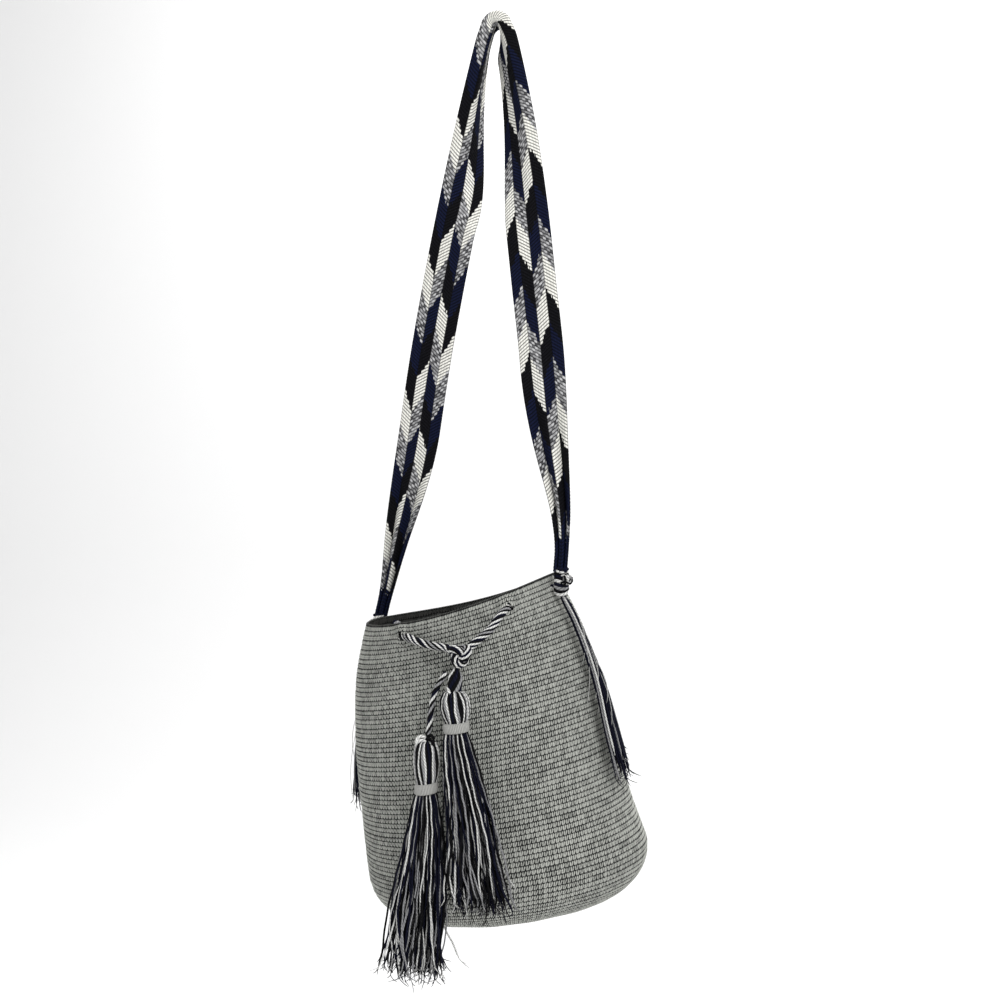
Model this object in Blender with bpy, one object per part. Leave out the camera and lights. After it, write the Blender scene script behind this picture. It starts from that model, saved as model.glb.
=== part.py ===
"""Wayuu mochila: a crocheted bucket bag hanging from its braided shoulder strap.

Metres, +Z up, the bag's front (drawstring knot and tassels) towards -Y.
The origin is the place where a peg carries the strap, under the top of its loop.
The bag hangs askew, as a limp one does: the right side of its mouth is the higher one.
"""

import math

import bmesh
import bpy
from mathutils import Vector

# ---------------------------------------------------------------- driving dimensions
AIR = 0.0004  # gap kept between pieces that touch
WALL = 0.003  # thickness of the crocheted fabric
SEGMENTS = 48  # steps round the bag
CURVE_STEPS = 24  # fine steps between two points of a smooth path

# The bag's rings at even steps from rim to bottom edge:
# centre x, y and z, half width, half depth, tilt in degrees (right side up)
BAG_RINGS = (
    (-0.0340, 0.000, -0.5270, 0.0920, 0.0900, 15.2),
    (-0.0296, 0.008, -0.5741, 0.1090, 0.0940, 14.2),
    (-0.0229, 0.015, -0.6228, 0.1192, 0.0980, 13.2),
    (-0.0168, 0.021, -0.6730, 0.1243, 0.1010, 12.2),
    (-0.0089, 0.026, -0.7223, 0.1282, 0.1040, 11.0),
    (0.0026, 0.030, -0.7730, 0.1345, 0.1060, 9.5),
)
BAG_DEPTH = 0.240  # from the rim to the bottom edge, along the fabric
EDGE_IN = 0.050  # how far the rounded bottom edge runs inwards
EDGE_DOWN = 0.044  # how far the rounded bottom edge runs down
MOUTH_SAG = 0.009  # how far the front and back of the rim hang below its sides
SAG_DEPTH = 0.45  # share of the bag's depth over which that sag dies away
SAG_POWER = 1.5  # how soon it does
WALL_STEPS = 9
EDGE_STEPS = 5

# The strap's outer edge, from near the left foot over the peg to near the right foot
STRAP_EDGE = (
    (-0.1240, 0.0320, -0.5200),
    (-0.1160, 0.0260, -0.4550),
    (-0.1030, 0.0190, -0.3770),
    (-0.0890, 0.0120, -0.3010),
    (-0.0730, 0.0050, -0.2270),
    (-0.0555, -0.0015, -0.1530),
    (-0.0370, -0.0080, -0.0820),
    (-0.0190, -0.0130, -0.0180),
    (-0.0135, -0.0140, -0.0020),
    (-0.0085, -0.0145, 0.0085),
    (0.0020, -0.0150, 0.0135),
    (0.0130, -0.0150, 0.0085),
    (0.0185, -0.0150, -0.0020),
    (0.0245, -0.0155, -0.0200),
    (0.0395, -0.0170, -0.0910),
    (0.0510, -0.0190, -0.1650),
    (0.0595, -0.0210, -0.2380),
    (0.0675, -0.0230, -0.3100),
    (0.0715, -0.0250, -0.3820),
    (0.0735, -0.0265, -0.4400),
    (0.0715, -0.0270, -0.4800),
)
STRAP_WIDTH = 0.041
STRAP_THICK = 0.003
FOOT_WIDTH = 0.011  # the strap gathered into a bundle at each foot
FOOT_THICK = 0.009
FOOT_CLEAR = 0.0038  # from the tie up to the end of the slanted bundle
FOOT_PLAIN = 0.020  # length of the bundle proper
FOOT_GATHER = 0.175  # length over which the strap is gathered into it
GATHER_POWER = 1.3
STRAP_STEP = 0.009  # distance between the strap's cross-sections
CREASE_AT = 0.009  # the outer lane keeps facing forwards at the peg, the rest folds back
CREASE_WIDTH = 0.004
# The fold on the left and right strand: its angle at the peg in degrees, the distance
# along the strap from the peg to where it lies flat, and how late it opens
CREASE_LEFT = (106.0, 0.2095, 1.95)
CREASE_RIGHT = (64.0, 0.205, 1.7)
# Where one fold passes into the other, as distances from the peg, left below 0
CREASE_BLEND = (-0.010, 0.030)

# The strap's attachments, round the mouth from the front towards the right, in degrees
FOOT_RIGHT = 74.0
FOOT_LEFT = -112.0
TIE_BELOW_RIM = 0.013
TIE_STANDOFF = 0.0105  # from the wall to the middle of the outer knot
TIE_RADIUS = 0.0068
TIE_SHANK = 0.0026  # yarn passing through the wall
TIE_HOLE = 0.0033
TIE_INNER = 0.0052  # radius of the knot inside the bag
TIE_SLACK = 0.0020  # room between that knot and the wall
TIE_SIDES = 14
TIE_INNER_ARC = (0.04, 0.84)  # the shares of a half turn that each knot's side covers
TIE_OUTER_ARC = (0.14, 0.94)
HOLE_REACH = 0.012  # how far the tie's hole is cut each way from the wall's face

FRINGE_LENGTH = 0.165
FRINGE_TOP = 0.0045  # half width and half depth under the tie
FRINGE_WIDE = 0.0130
FRINGE_DEEP = 0.0060
FRINGE_STEPS = 9
FRINGE_RISE = 0.003  # how far its lower end stands further off the wall
FRINGE_LEAN_LEFT = 0.0  # how far its lower end lies further back
FRINGE_LEAN_RIGHT = 0.020
FRINGE_SIDES = 12
FRINGE_GAP = 0.0009  # from the tie down to the fringe's tip, so that it can swing
YARN_TIP = 0.0010  # radius where a fringe or the loop narrows to the place it swings at
YARN_NECK = 0.004  # length of that narrowing

# The drawstring's route, from one side of the knot round the mouth to the other:
# degrees from the front towards the right, millimetres below the rim, millimetres out
# from the wall (negative is inside the bag)
DRAWSTRING_ROUTE = (
    (5.5, 33.0, 12.0), (0.0, 29.5, 10.8), (-5.5, 25.0, 8.5), (-11.0, 20.5, 6.2),
    (-15.8, 17.0, 2.6), (-20.0, 15.0, -2.0), (-25.0, 15.0, -6.9), (-32.0, 17.0, -7.6),
    (-43.0, 20.5, -7.6), (-57.0, 24.0, -7.6), (-73.0, 26.5, -7.6), (-90.0, 27.5, -7.6),
    (-108.0, 27.5, -7.6), (-123.0, 25.0, -7.6), (-135.0, 21.0, -7.6),
    (-143.0, 17.5, -6.9), (-148.0, 16.0, -2.0), (-152.5, 15.5, 2.6),
    (-159.0, 15.5, 4.8), (-170.0, 16.5, 4.8), (-182.0, 17.0, 4.8), (-194.0, 16.5, 4.8),
    (-205.0, 15.5, 4.8), (-211.5, 15.5, 2.6), (-216.0, 16.0, -2.0),
    (-221.0, 17.5, -6.9), (-229.0, 21.0, -7.6), (-241.0, 25.0, -7.6),
    (-256.0, 27.5, -7.6), (-272.0, 28.0, -7.6), (-288.0, 27.5, -7.6),
    (-301.0, 24.0, -7.6), (-310.5, 19.0, -7.6), (-316.5, 16.5, -6.9),
    (-321.0, 16.0, -2.0), (-325.0, 18.0, 2.8), (-329.5, 22.0, 7.2), (-334.5, 28.5, 11.5),
)
EYELETS = (5, 16, 24, 34)  # the route's points that lie in the wall
CORD_RADIUS = 0.0035
EYELET_RADIUS = 0.0043
EYELET_REACH = 0.0225  # how far the hole follows the cord each way
CORD_STEP = 0.0135

KNOT_CENTRE = (-0.0064, -0.1080, -0.5645)
KNOT_HALF = (0.0108, 0.0100, 0.0108)

# The plain end of the drawstring, from the knot down to the lower tassel
END_ROUTE = (
    (-0.0185, -0.1065, -0.5795), (-0.0235, -0.1070, -0.5870),
    (-0.0285, -0.1075, -0.5965), (-0.0312, -0.1075, -0.6080),
    (-0.0325, -0.1075, -0.6200), (-0.0345, -0.1075, -0.6330),
)
END_RADIUS = 0.0025
END_STEP = 0.009

# Each tassel: a hank of yarn hung on the cord, tied off under its head.
# Rows: centre x, centre z, half width, half depth
TASSEL_Y = -0.1075
TASSEL_UPPER = (
    (-0.0115, -0.5930, 0.0045, 0.0045), (-0.0115, -0.5960, 0.0092, 0.0090),
    (-0.0113, -0.6010, 0.0120, 0.0115), (-0.0110, -0.6080, 0.0127, 0.0122),
    (-0.0105, -0.6150, 0.0115, 0.0110), (-0.0100, -0.6205, 0.0093, 0.0090),
    (-0.0096, -0.6290, 0.0093, 0.0090), (-0.0088, -0.6380, 0.0118, 0.0098),
    (-0.0055, -0.6600, 0.0160, 0.0098), (0.0000, -0.6950, 0.0200, 0.0100),
    (0.0055, -0.7350, 0.0230, 0.0100), (0.0095, -0.7700, 0.0250, 0.0095),
)
TASSEL_LOWER = (
    (-0.0355, -0.6350, 0.0040, 0.0040), (-0.0355, -0.6390, 0.0082, 0.0082),
    (-0.0356, -0.6450, 0.0105, 0.0105), (-0.0357, -0.6550, 0.0112, 0.0112),
    (-0.0358, -0.6650, 0.0102, 0.0102), (-0.0358, -0.6725, 0.0082, 0.0082),
    (-0.0358, -0.6815, 0.0082, 0.0082), (-0.0362, -0.6900, 0.0108, 0.0095),
    (-0.0375, -0.7150, 0.0160, 0.0098), (-0.0405, -0.7500, 0.0205, 0.0100),
    (-0.0440, -0.7900, 0.0240, 0.0100), (-0.0465, -0.8280, 0.0260, 0.0095),
)
TASSEL_SEGMENTS = 16
BINDING_THICK = 0.0018
BINDING_INSET = 0.001  # from the waist's ends to the binding's edges
LOOP_TOP = (-0.0100, -0.1075, -0.5765)  # the yarn loop from the knot to the upper tassel
LOOP_BOTTOM = (-0.0114, -0.1075, -0.5924)
LOOP_RADIUS = 0.0060


# ---------------------------------------------------------------- shared helpers
def blend_rows(rows, share):
    """The row at a share of the way through evenly spaced rows, on a smooth curve."""
    last = len(rows) - 1
    place = min(max(share, 0.0), 1.0) * last
    i = min(int(place), last - 1)
    f = place - i
    a, b, c, d = (rows[min(max(i + k, 0), last)] for k in (-1, 0, 1, 2))
    return tuple(
        0.5 * (2 * q + (r - p) * f + (2 * p - 5 * q + 4 * r - s) * f * f
               + (3 * q - p - 3 * r + s) * f ** 3)
        for p, q, r, s in zip(a, b, c, d)
    )


def bag_point(share, angle, inset=0.0, drop=0.0):
    """A point of the bag: share of its depth, radians from the front towards the right."""
    x, y, z, half_width, half_depth, tilt = blend_rows(BAG_RINGS, share)
    tilt = math.radians(tilt)
    across = Vector((math.cos(tilt), 0, math.sin(tilt)))
    up = Vector((-math.sin(tilt), 0, math.cos(tilt)))
    fade = max(0.0, 1 - share / SAG_DEPTH) ** SAG_POWER
    point = Vector((x, y, z))
    point += across * (half_width - inset) * math.sin(angle)
    point += Vector((0, -1, 0)) * (half_depth - inset) * math.cos(angle)
    point -= up * drop
    point.z -= MOUTH_SAG * fade * math.cos(angle) ** 2
    return point


def smooth_path(points, step):
    """Points a step apart on one smooth curve through the given points."""
    points = [Vector(p) for p in points]
    first = points[0] * 2 - points[1]
    last = points[-1] * 2 - points[-2]
    ring = [first] + points + [last]
    fine = []
    for i in range(1, len(ring) - 2):
        a, b, c, d = ring[i - 1:i + 3]
        for k in range(CURVE_STEPS):
            f = k / CURVE_STEPS
            fine.append(0.5 * (2 * b + (c - a) * f + (2 * a - 5 * b + 4 * c - d) * f * f
                               + (3 * b - a - 3 * c + d) * f ** 3))
    fine.append(points[-1])
    gone = [0.0]
    for p, q in zip(fine, fine[1:]):
        gone.append(gone[-1] + (q - p).length)
    count = max(2, round(gone[-1] / step))
    path = []
    j = 0
    for k in range(count + 1):
        want = gone[-1] * k / count
        while j < len(gone) - 2 and gone[j + 1] < want:
            j += 1
        share = (want - gone[j]) / max(gone[j + 1] - gone[j], 1e-9)
        path.append(fine[j].lerp(fine[j + 1], min(max(share, 0.0), 1.0)))
    return path


def tangents(path):
    """The direction of a path at each of its points."""
    last = len(path) - 1
    return [(path[min(i + 1, last)] - path[max(i - 1, 0)]).normalized()
            for i in range(len(path))]


def plain_material(name, colour, roughness):
    material = bpy.data.materials.new(name)
    material.use_nodes = True
    shader = material.node_tree.nodes["Principled BSDF"]
    shader.inputs["Base Color"].default_value = (*colour, 1.0)
    shader.inputs["Roughness"].default_value = roughness
    shader.inputs["Metallic"].default_value = 0.0
    return material


def finish(name, mesh, material, origin=(0, 0, 0)):
    """Links a mesh made in world coordinates as an object with its origin at a point."""
    origin = Vector(origin)
    for vertex in mesh.vertices:
        vertex.co -= origin
    mesh.materials.append(material)
    mesh.shade_smooth()
    mesh.set_sharp_from_angle(angle=math.radians(40))
    body = bpy.data.objects.new(name, mesh)
    body.location = origin
    bpy.context.collection.objects.link(body)
    return body


def loft(name, rings, material, origin=(0, 0, 0)):
    """A closed body through rings of points, with a flat cap at each end."""
    grid = bmesh.new()
    rows = [[grid.verts.new(p) for p in ring] for ring in rings]
    size = len(rows[0])
    for low, high in zip(rows, rows[1:]):
        for k in range(size):
            grid.faces.new((low[k], low[(k + 1) % size], high[(k + 1) % size], high[k]))
    grid.faces.new(list(reversed(rows[0])))
    grid.faces.new(rows[-1])
    bmesh.ops.recalc_face_normals(grid, faces=grid.faces)
    mesh = bpy.data.meshes.new(name)
    grid.to_mesh(mesh)
    grid.free()
    return finish(name, mesh, material, origin)


def cut(body, cutter):
    """Takes a hidden cutter out of a body."""
    cutter.hide_render = True
    cutter.display_type = "WIRE"
    bore = body.modifiers.new(cutter.name, "BOOLEAN")
    bore.operation = "DIFFERENCE"
    bore.solver = "EXACT"
    bore.object = cutter


def sleeve(name, path, radius, sides=12):
    """A round bar along a path, used as a cutter."""
    grid = bmesh.new()
    rows = []
    side = tangents(path)[0].orthogonal().normalized()
    for place, along in zip(path, tangents(path)):
        side = (side - along * side.dot(along)).normalized()
        other = along.cross(side)
        rows.append([
            grid.verts.new(place + radius * (math.cos(k * math.tau / sides) * side
                                             + math.sin(k * math.tau / sides) * other))
            for k in range(sides)
        ])
    for low, high in zip(rows, rows[1:]):
        for k in range(sides):
            grid.faces.new((low[k], low[(k + 1) % sides], high[(k + 1) % sides], high[k]))
    grid.faces.new(list(reversed(rows[0])))
    grid.faces.new(rows[-1])
    bmesh.ops.recalc_face_normals(grid, faces=grid.faces)
    mesh = bpy.data.meshes.new(name)
    grid.to_mesh(mesh)
    grid.free()
    bar = bpy.data.objects.new(name, mesh)
    bpy.context.collection.objects.link(bar)
    return bar


def tube(name, path, radius, material):
    """A round cord along a path, as a curve with a bevel and filled caps."""
    curve = bpy.data.curves.new(name, "CURVE")
    curve.dimensions = "3D"
    curve.bevel_depth = radius
    curve.bevel_resolution = 2
    curve.render_resolution_u = 0
    curve.use_fill_caps = True
    line = curve.splines.new("POLY")
    line.points.add(len(path) - 1)
    origin = path[0]
    for point, place in zip(line.points, path):
        point.co = (*(place - origin), 1.0)
    curve.materials.append(material)
    cord = bpy.data.objects.new(name, curve)
    cord.location = origin
    bpy.context.collection.objects.link(cord)
    return cord


# ---------------------------------------------------------------- places used by several pieces
def tie_places():
    """Where the ties' yarn passes through the wall, left and right."""
    share = TIE_BELOW_RIM / BAG_DEPTH
    return (bag_point(share, math.radians(FOOT_LEFT)),
            bag_point(share, math.radians(FOOT_RIGHT)))


def tie_middle(wall_place, outward):
    """The middle of a tie's outer knot."""
    return wall_place + outward * TIE_STANDOFF


def strap_edge():
    """The strap's outer edge, ending just above the two ties' outer knots."""
    left, right = tie_places()
    across = (right - left).normalized()
    lift = Vector((0, 0, TIE_RADIUS + FOOT_CLEAR))
    half = Vector((across.x, across.y, 0)) * FOOT_WIDTH / 2
    return ([tie_middle(left, -across) + lift - half] + [Vector(p) for p in STRAP_EDGE]
            + [tie_middle(right, across) + lift + half])


def route_points():
    """The drawstring's route in metres."""
    return [bag_point(below / 1000 / BAG_DEPTH, math.radians(angle), inset=-out / 1000)
            for angle, below, out in DRAWSTRING_ROUTE]


# ---------------------------------------------------------------- the bag
def make_bag():
    material = plain_material("crochet_grey", (0.20, 0.20, 0.19), 0.9)
    sections = []
    for k in range(WALL_STEPS + 1):
        sections.append((k / WALL_STEPS, 0.0, 0.0))
    for k in range(1, EDGE_STEPS + 1):
        bend = math.pi / 2 * k / EDGE_STEPS
        sections.append((1.0, EDGE_IN * (1 - math.cos(bend)), EDGE_DOWN * math.sin(bend)))
    inner = []
    for k in range(EDGE_STEPS, 0, -1):
        bend = math.pi / 2 * k / EDGE_STEPS
        inset = WALL + (EDGE_IN - WALL) * (1 - math.cos(bend))
        inner.append((1.0, inset, (EDGE_DOWN - WALL) * math.sin(bend)))
    for k in range(WALL_STEPS, -1, -1):
        inner.append((k / WALL_STEPS, WALL, 0.0))
    lip = (0.0, WALL / 2, -WALL / 2)
    rings = []
    for share, inset, drop in reversed(sections):
        rings.append([bag_point(share, k * math.tau / SEGMENTS, inset, drop)
                      for k in range(SEGMENTS)])
    for share, inset, drop in [lip] + list(reversed(inner)):
        rings.append([bag_point(share, k * math.tau / SEGMENTS, inset, drop)
                      for k in range(SEGMENTS)])
    bag = loft("bag_body", rings, material, bag_point(0.0, 0.0))
    route = route_points()
    cord = smooth_path(route, CORD_STEP)
    for number, i in enumerate(EYELETS):
        near = [place for place in cord if (place - route[i]).length < EYELET_REACH]
        cut(bag, sleeve(f"eyelet_cutter_{number}", near, EYELET_RADIUS))
    left, right = tie_places()
    axis = (right - left).normalized() * HOLE_REACH
    cut(bag, sleeve("tie_cutter_left", [left - axis, left + axis], TIE_HOLE))
    cut(bag, sleeve("tie_cutter_right", [right - axis, right + axis], TIE_HOLE))
    return bag


# ---------------------------------------------------------------- the strap
def fold_angle(distance):
    """How far the strap is folded back at a distance from the peg, left below 0."""
    folds = []
    for angle, reach, power in (CREASE_LEFT, CREASE_RIGHT):
        folds.append(math.radians(angle) * max(0.0, 1 - (abs(distance) / reach) ** power))
    begin, end = CREASE_BLEND
    share = min(max((distance - begin) / (end - begin), 0.0), 1.0)
    return folds[0] + (folds[1] - folds[0]) * share


def strap_sections():
    """Rings of points along the strap, folded back at the peg and gathered at the feet."""
    path = smooth_path(strap_edge(), STRAP_STEP)
    ahead = tangents(path)
    top = max(range(len(path)), key=lambda i: path[i].z)
    rings = []
    for i, (place, along) in enumerate(zip(path, ahead)):
        front = Vector((0, -1, 0))
        front = (front - along * front.dot(along)).normalized()
        inward = along.cross(front)
        from_foot = min(i, len(path) - 1 - i) * STRAP_STEP
        gather = min(max((from_foot - FOOT_PLAIN) / FOOT_GATHER, 0.0), 1.0)
        gather = math.sin(gather * math.pi / 2) ** GATHER_POWER
        width = FOOT_WIDTH + (STRAP_WIDTH - FOOT_WIDTH) * gather
        thick = FOOT_THICK + (STRAP_THICK - FOOT_THICK) * gather
        fold = fold_angle((i - top) * STRAP_STEP)
        marks = [0.0, CREASE_AT, CREASE_AT + CREASE_WIDTH / 2, CREASE_AT + CREASE_WIDTH,
                 (CREASE_AT + CREASE_WIDTH + STRAP_WIDTH) / 2, STRAP_WIDTH]
        marks = [m * width / STRAP_WIDTH for m in marks]
        turns = [0.0, 0.0, fold / 2, fold, fold, fold]
        middle = [place.copy()]
        for a, b, turn in zip(marks, marks[1:], turns[1:]):
            way = inward * math.cos(turn) - front * math.sin(turn)
            middle.append(middle[-1] + way * (b - a))
        face, back = [], []
        for point, turn in zip(middle, turns):
            out = front * math.cos(turn) + inward * math.sin(turn)
            face.append(point + out * thick / 2)
            back.append(point - out * thick / 2)
        rings.append(face + list(reversed(back)))
    return rings


def make_strap():
    material = plain_material("strap_yarn", (0.16, 0.17, 0.22), 0.85)
    return loft("shoulder_strap", strap_sections(), material)


def ball_profile(middle, radius, arc, steps=6):
    """Distance out and radius along a ball's side, between two shares of its half turn."""
    first, last = arc
    bends = [math.pi * (first + (last - first) * k / steps) for k in range(steps + 1)]
    return [(middle - radius * math.cos(bend), radius * math.sin(bend)) for bend in bends]


def make_tie(name, wall_place, outward, material):
    """A yarn tie turned about the line through both attachments: knot, shank, knot."""
    side = outward.orthogonal().normalized()
    other = outward.cross(side)
    inner = ball_profile(-WALL - TIE_SLACK - TIE_INNER, TIE_INNER, TIE_INNER_ARC)
    outer = ball_profile(TIE_STANDOFF, TIE_RADIUS, TIE_OUTER_ARC)
    profile = inner + [(inner[-1][0], TIE_SHANK), (outer[0][0], TIE_SHANK)] + outer
    rings = []
    for out, radius in profile:
        rings.append([wall_place + outward * out
                      + radius * (math.cos(k * math.tau / TIE_SIDES) * side
                                  + math.sin(k * math.tau / TIE_SIDES) * other)
                      for k in range(TIE_SIDES)])
    return loft(name, rings, material, wall_place)


def fringe_middles(wall_place, outward, lean):
    """The fringe's middle line: down along the wall from under the tie."""
    start = tie_middle(wall_place, outward) - Vector((0, 0, TIE_RADIUS + FRINGE_GAP))
    first = TIE_BELOW_RIM + TIE_RADIUS + FRINGE_GAP
    middles = [start]
    for k in range(1, FRINGE_STEPS + 1):
        share = k / FRINGE_STEPS
        depth = (first + FRINGE_LENGTH * share) / BAG_DEPTH
        row = blend_rows(BAG_RINGS, depth)
        back = start.y + lean * share
        angle = math.copysign(math.acos((row[1] - back) / row[4]), outward.x)
        out = TIE_STANDOFF + FRINGE_RISE * share
        middles.append(bag_point(depth, angle) + outward * out)
    return middles


def make_fringe(name, wall_place, outward, lean, material):
    """The strap's loose yarn ends, hanging from the tie along the wall."""
    sideways = Vector((0, 0, 1)).cross(outward).normalized()
    level = Vector((outward.x, outward.y, 0)).normalized()
    middles = fringe_middles(wall_place, outward, lean)
    neck = middles[0].lerp(middles[1], YARN_NECK / (middles[1] - middles[0]).length)
    sizes = [(middles[0], YARN_TIP, YARN_TIP), (neck, FRINGE_TOP, FRINGE_TOP)]
    for k, middle in enumerate(middles[1:], start=1):
        grow = math.sin(k / FRINGE_STEPS * math.pi / 2)
        sizes.append((middle, FRINGE_TOP + (FRINGE_WIDE - FRINGE_TOP) * grow,
                      FRINGE_TOP + (FRINGE_DEEP - FRINGE_TOP) * grow))
    rings = []
    for middle, half_wide, half_deep in sizes:
        rings.append([middle + sideways * half_wide * math.cos(j * math.tau / FRINGE_SIDES)
                      + level * half_deep * math.sin(j * math.tau / FRINGE_SIDES)
                      for j in range(FRINGE_SIDES)])
    return loft(name, rings, material, middles[0])


# ---------------------------------------------------------------- drawstring and tassels
def make_knot(material):
    """The drawstring's overhand knot."""
    centre = Vector(KNOT_CENTRE)
    grid = bmesh.new()
    bmesh.ops.create_uvsphere(grid, u_segments=16, v_segments=10, radius=1.0)
    for vertex in grid.verts:
        vertex.co = Vector([vertex.co[k] * KNOT_HALF[k] for k in range(3)]) + centre
    mesh = bpy.data.meshes.new("drawstring_knot")
    grid.to_mesh(mesh)
    grid.free()
    return finish("drawstring_knot", mesh, material, centre)


def make_loop(material):
    """The yarn between the knot and the upper tassel, narrowed to where it swings."""
    top = Vector(LOOP_TOP)
    bottom = Vector(LOOP_BOTTOM)
    neck = top.lerp(bottom, YARN_NECK / (bottom - top).length)
    rings = []
    for place, radius in ((top, YARN_TIP), (neck, LOOP_RADIUS), (bottom, LOOP_RADIUS)):
        rings.append([place + Vector((radius * math.cos(k * math.tau / TASSEL_SEGMENTS),
                                      radius * math.sin(k * math.tau / TASSEL_SEGMENTS), 0))
                      for k in range(TASSEL_SEGMENTS)])
    return loft("tassel_upper_loop", rings, material, top)


def make_tassel(name, rows, material, pivot):
    rings = []
    for x, z, half_width, half_depth in rows:
        rings.append([Vector((x + half_width * math.cos(k * math.tau / TASSEL_SEGMENTS),
                              TASSEL_Y + half_depth * math.sin(k * math.tau / TASSEL_SEGMENTS),
                              z))
                      for k in range(TASSEL_SEGMENTS)])
    return loft(name, rings, material, pivot)


def make_binding(name, row_above, row_below, material, pivot):
    """A flat yarn wrapping round the tassel's waist, a gap clear of the threads."""
    grid = bmesh.new()
    rows = []
    inner = AIR
    outer = AIR + BINDING_THICK
    for x, z, half_width, half_depth, out in (
        (*row_above, inner), (*row_above, outer), (*row_below, outer), (*row_below, inner)
    ):
        z += -BINDING_INSET if z == row_above[1] else BINDING_INSET
        rows.append([grid.verts.new((
            x + (half_width + out) * math.cos(k * math.tau / TASSEL_SEGMENTS),
            TASSEL_Y + (half_depth + out) * math.sin(k * math.tau / TASSEL_SEGMENTS),
            z)) for k in range(TASSEL_SEGMENTS)])
    for a in range(4):
        low, high = rows[a], rows[(a + 1) % 4]
        for k in range(TASSEL_SEGMENTS):
            j = (k + 1) % TASSEL_SEGMENTS
            grid.faces.new((low[k], low[j], high[j], high[k]))
    bmesh.ops.recalc_face_normals(grid, faces=grid.faces)
    mesh = bpy.data.meshes.new(name)
    grid.to_mesh(mesh)
    grid.free()
    return finish(name, mesh, material, pivot)


def build():
    for old in list(bpy.data.objects):
        bpy.data.objects.remove(old, do_unlink=True)

    navy_yarn = plain_material("yarn_navy", (0.012, 0.016, 0.045), 0.85)
    mixed_yarn = plain_material("yarn_mixed", (0.10, 0.10, 0.12), 0.85)
    rope = plain_material("drawstring_yarn", (0.22, 0.22, 0.23), 0.85)
    grey_yarn = plain_material("binding_yarn", (0.24, 0.24, 0.235), 0.85)

    make_bag()
    make_strap()
    left, right = tie_places()
    across = (right - left).normalized()
    tie_yarn = plain_material("tie_yarn", (0.25, 0.25, 0.26), 0.85)
    make_tie("strap_tie_left", left, -across, tie_yarn)
    make_tie("strap_tie_right", right, across, tie_yarn)
    make_fringe("strap_fringe_left", left, -across, FRINGE_LEAN_LEFT, navy_yarn)
    make_fringe("strap_fringe_right", right, across, FRINGE_LEAN_RIGHT, navy_yarn)

    tube("drawstring", smooth_path(route_points(), CORD_STEP), CORD_RADIUS, rope)
    make_knot(rope)
    tube("drawstring_end_lower", smooth_path(END_ROUTE, END_STEP), END_RADIUS, rope)
    make_loop(rope)
    upper_pivot = Vector(LOOP_TOP)
    lower_pivot = Vector(END_ROUTE[0])
    make_tassel("tassel_upper_threads", TASSEL_UPPER, mixed_yarn, upper_pivot)
    make_tassel("tassel_lower_threads", TASSEL_LOWER, mixed_yarn, lower_pivot)
    make_binding("tassel_upper_binding", TASSEL_UPPER[5], TASSEL_UPPER[6], grey_yarn,
                 upper_pivot)
    make_binding("tassel_lower_binding", TASSEL_LOWER[5], TASSEL_LOWER[6], grey_yarn,
                 lower_pivot)


build()
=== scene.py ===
"""The looks of the crocheted mochila bag: stitches, braided strap, twisted cord, tassels.

Metres, +Z up, the bag's front towards -Y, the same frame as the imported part.
Route points and rings repeat the part's own driving dimensions.
"""

import math

import bpy
import numpy as np
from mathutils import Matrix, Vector


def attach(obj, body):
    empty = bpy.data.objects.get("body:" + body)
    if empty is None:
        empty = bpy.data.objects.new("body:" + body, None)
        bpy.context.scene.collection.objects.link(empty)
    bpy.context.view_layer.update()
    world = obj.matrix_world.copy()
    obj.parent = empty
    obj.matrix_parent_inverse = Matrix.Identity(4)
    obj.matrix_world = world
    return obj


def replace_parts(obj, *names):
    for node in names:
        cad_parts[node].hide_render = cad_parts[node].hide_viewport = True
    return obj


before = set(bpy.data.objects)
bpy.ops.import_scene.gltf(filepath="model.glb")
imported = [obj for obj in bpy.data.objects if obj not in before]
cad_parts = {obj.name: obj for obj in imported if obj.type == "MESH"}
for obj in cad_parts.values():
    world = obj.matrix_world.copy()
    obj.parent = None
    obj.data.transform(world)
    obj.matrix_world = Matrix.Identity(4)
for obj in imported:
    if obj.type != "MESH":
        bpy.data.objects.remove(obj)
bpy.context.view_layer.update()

# ---------------------------------------------------------------- the part's dimensions
BAG_RINGS = (
    (-0.0340, 0.000, -0.5270, 0.0920, 0.0900, 15.2),
    (-0.0296, 0.008, -0.5741, 0.1090, 0.0940, 14.2),
    (-0.0229, 0.015, -0.6228, 0.1192, 0.0980, 13.2),
    (-0.0168, 0.021, -0.6730, 0.1243, 0.1010, 12.2),
    (-0.0089, 0.026, -0.7223, 0.1282, 0.1040, 11.0),
    (0.0026, 0.030, -0.7730, 0.1345, 0.1060, 9.5),
)
BAG_DEPTH = 0.240
EDGE_IN = 0.050
EDGE_DOWN = 0.044
MOUTH_SAG = 0.009
SAG_DEPTH = 0.45
WALL = 0.003

STRAP_EDGE = (
    (-0.1240, 0.0320, -0.5200),
    (-0.1160, 0.0260, -0.4550),
    (-0.1030, 0.0190, -0.3770),
    (-0.0890, 0.0120, -0.3010),
    (-0.0730, 0.0050, -0.2270),
    (-0.0555, -0.0015, -0.1530),
    (-0.0370, -0.0080, -0.0820),
    (-0.0190, -0.0130, -0.0180),
    (-0.0135, -0.0140, -0.0020),
    (-0.0085, -0.0145, 0.0085),
    (0.0020, -0.0150, 0.0135),
    (0.0130, -0.0150, 0.0085),
    (0.0185, -0.0150, -0.0020),
    (0.0245, -0.0155, -0.0200),
    (0.0395, -0.0170, -0.0910),
    (0.0510, -0.0190, -0.1650),
    (0.0595, -0.0210, -0.2380),
    (0.0675, -0.0230, -0.3100),
    (0.0715, -0.0250, -0.3820),
    (0.0735, -0.0265, -0.4400),
    (0.0715, -0.0270, -0.4800),
)
STRAP_WIDTH = 0.041
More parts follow.
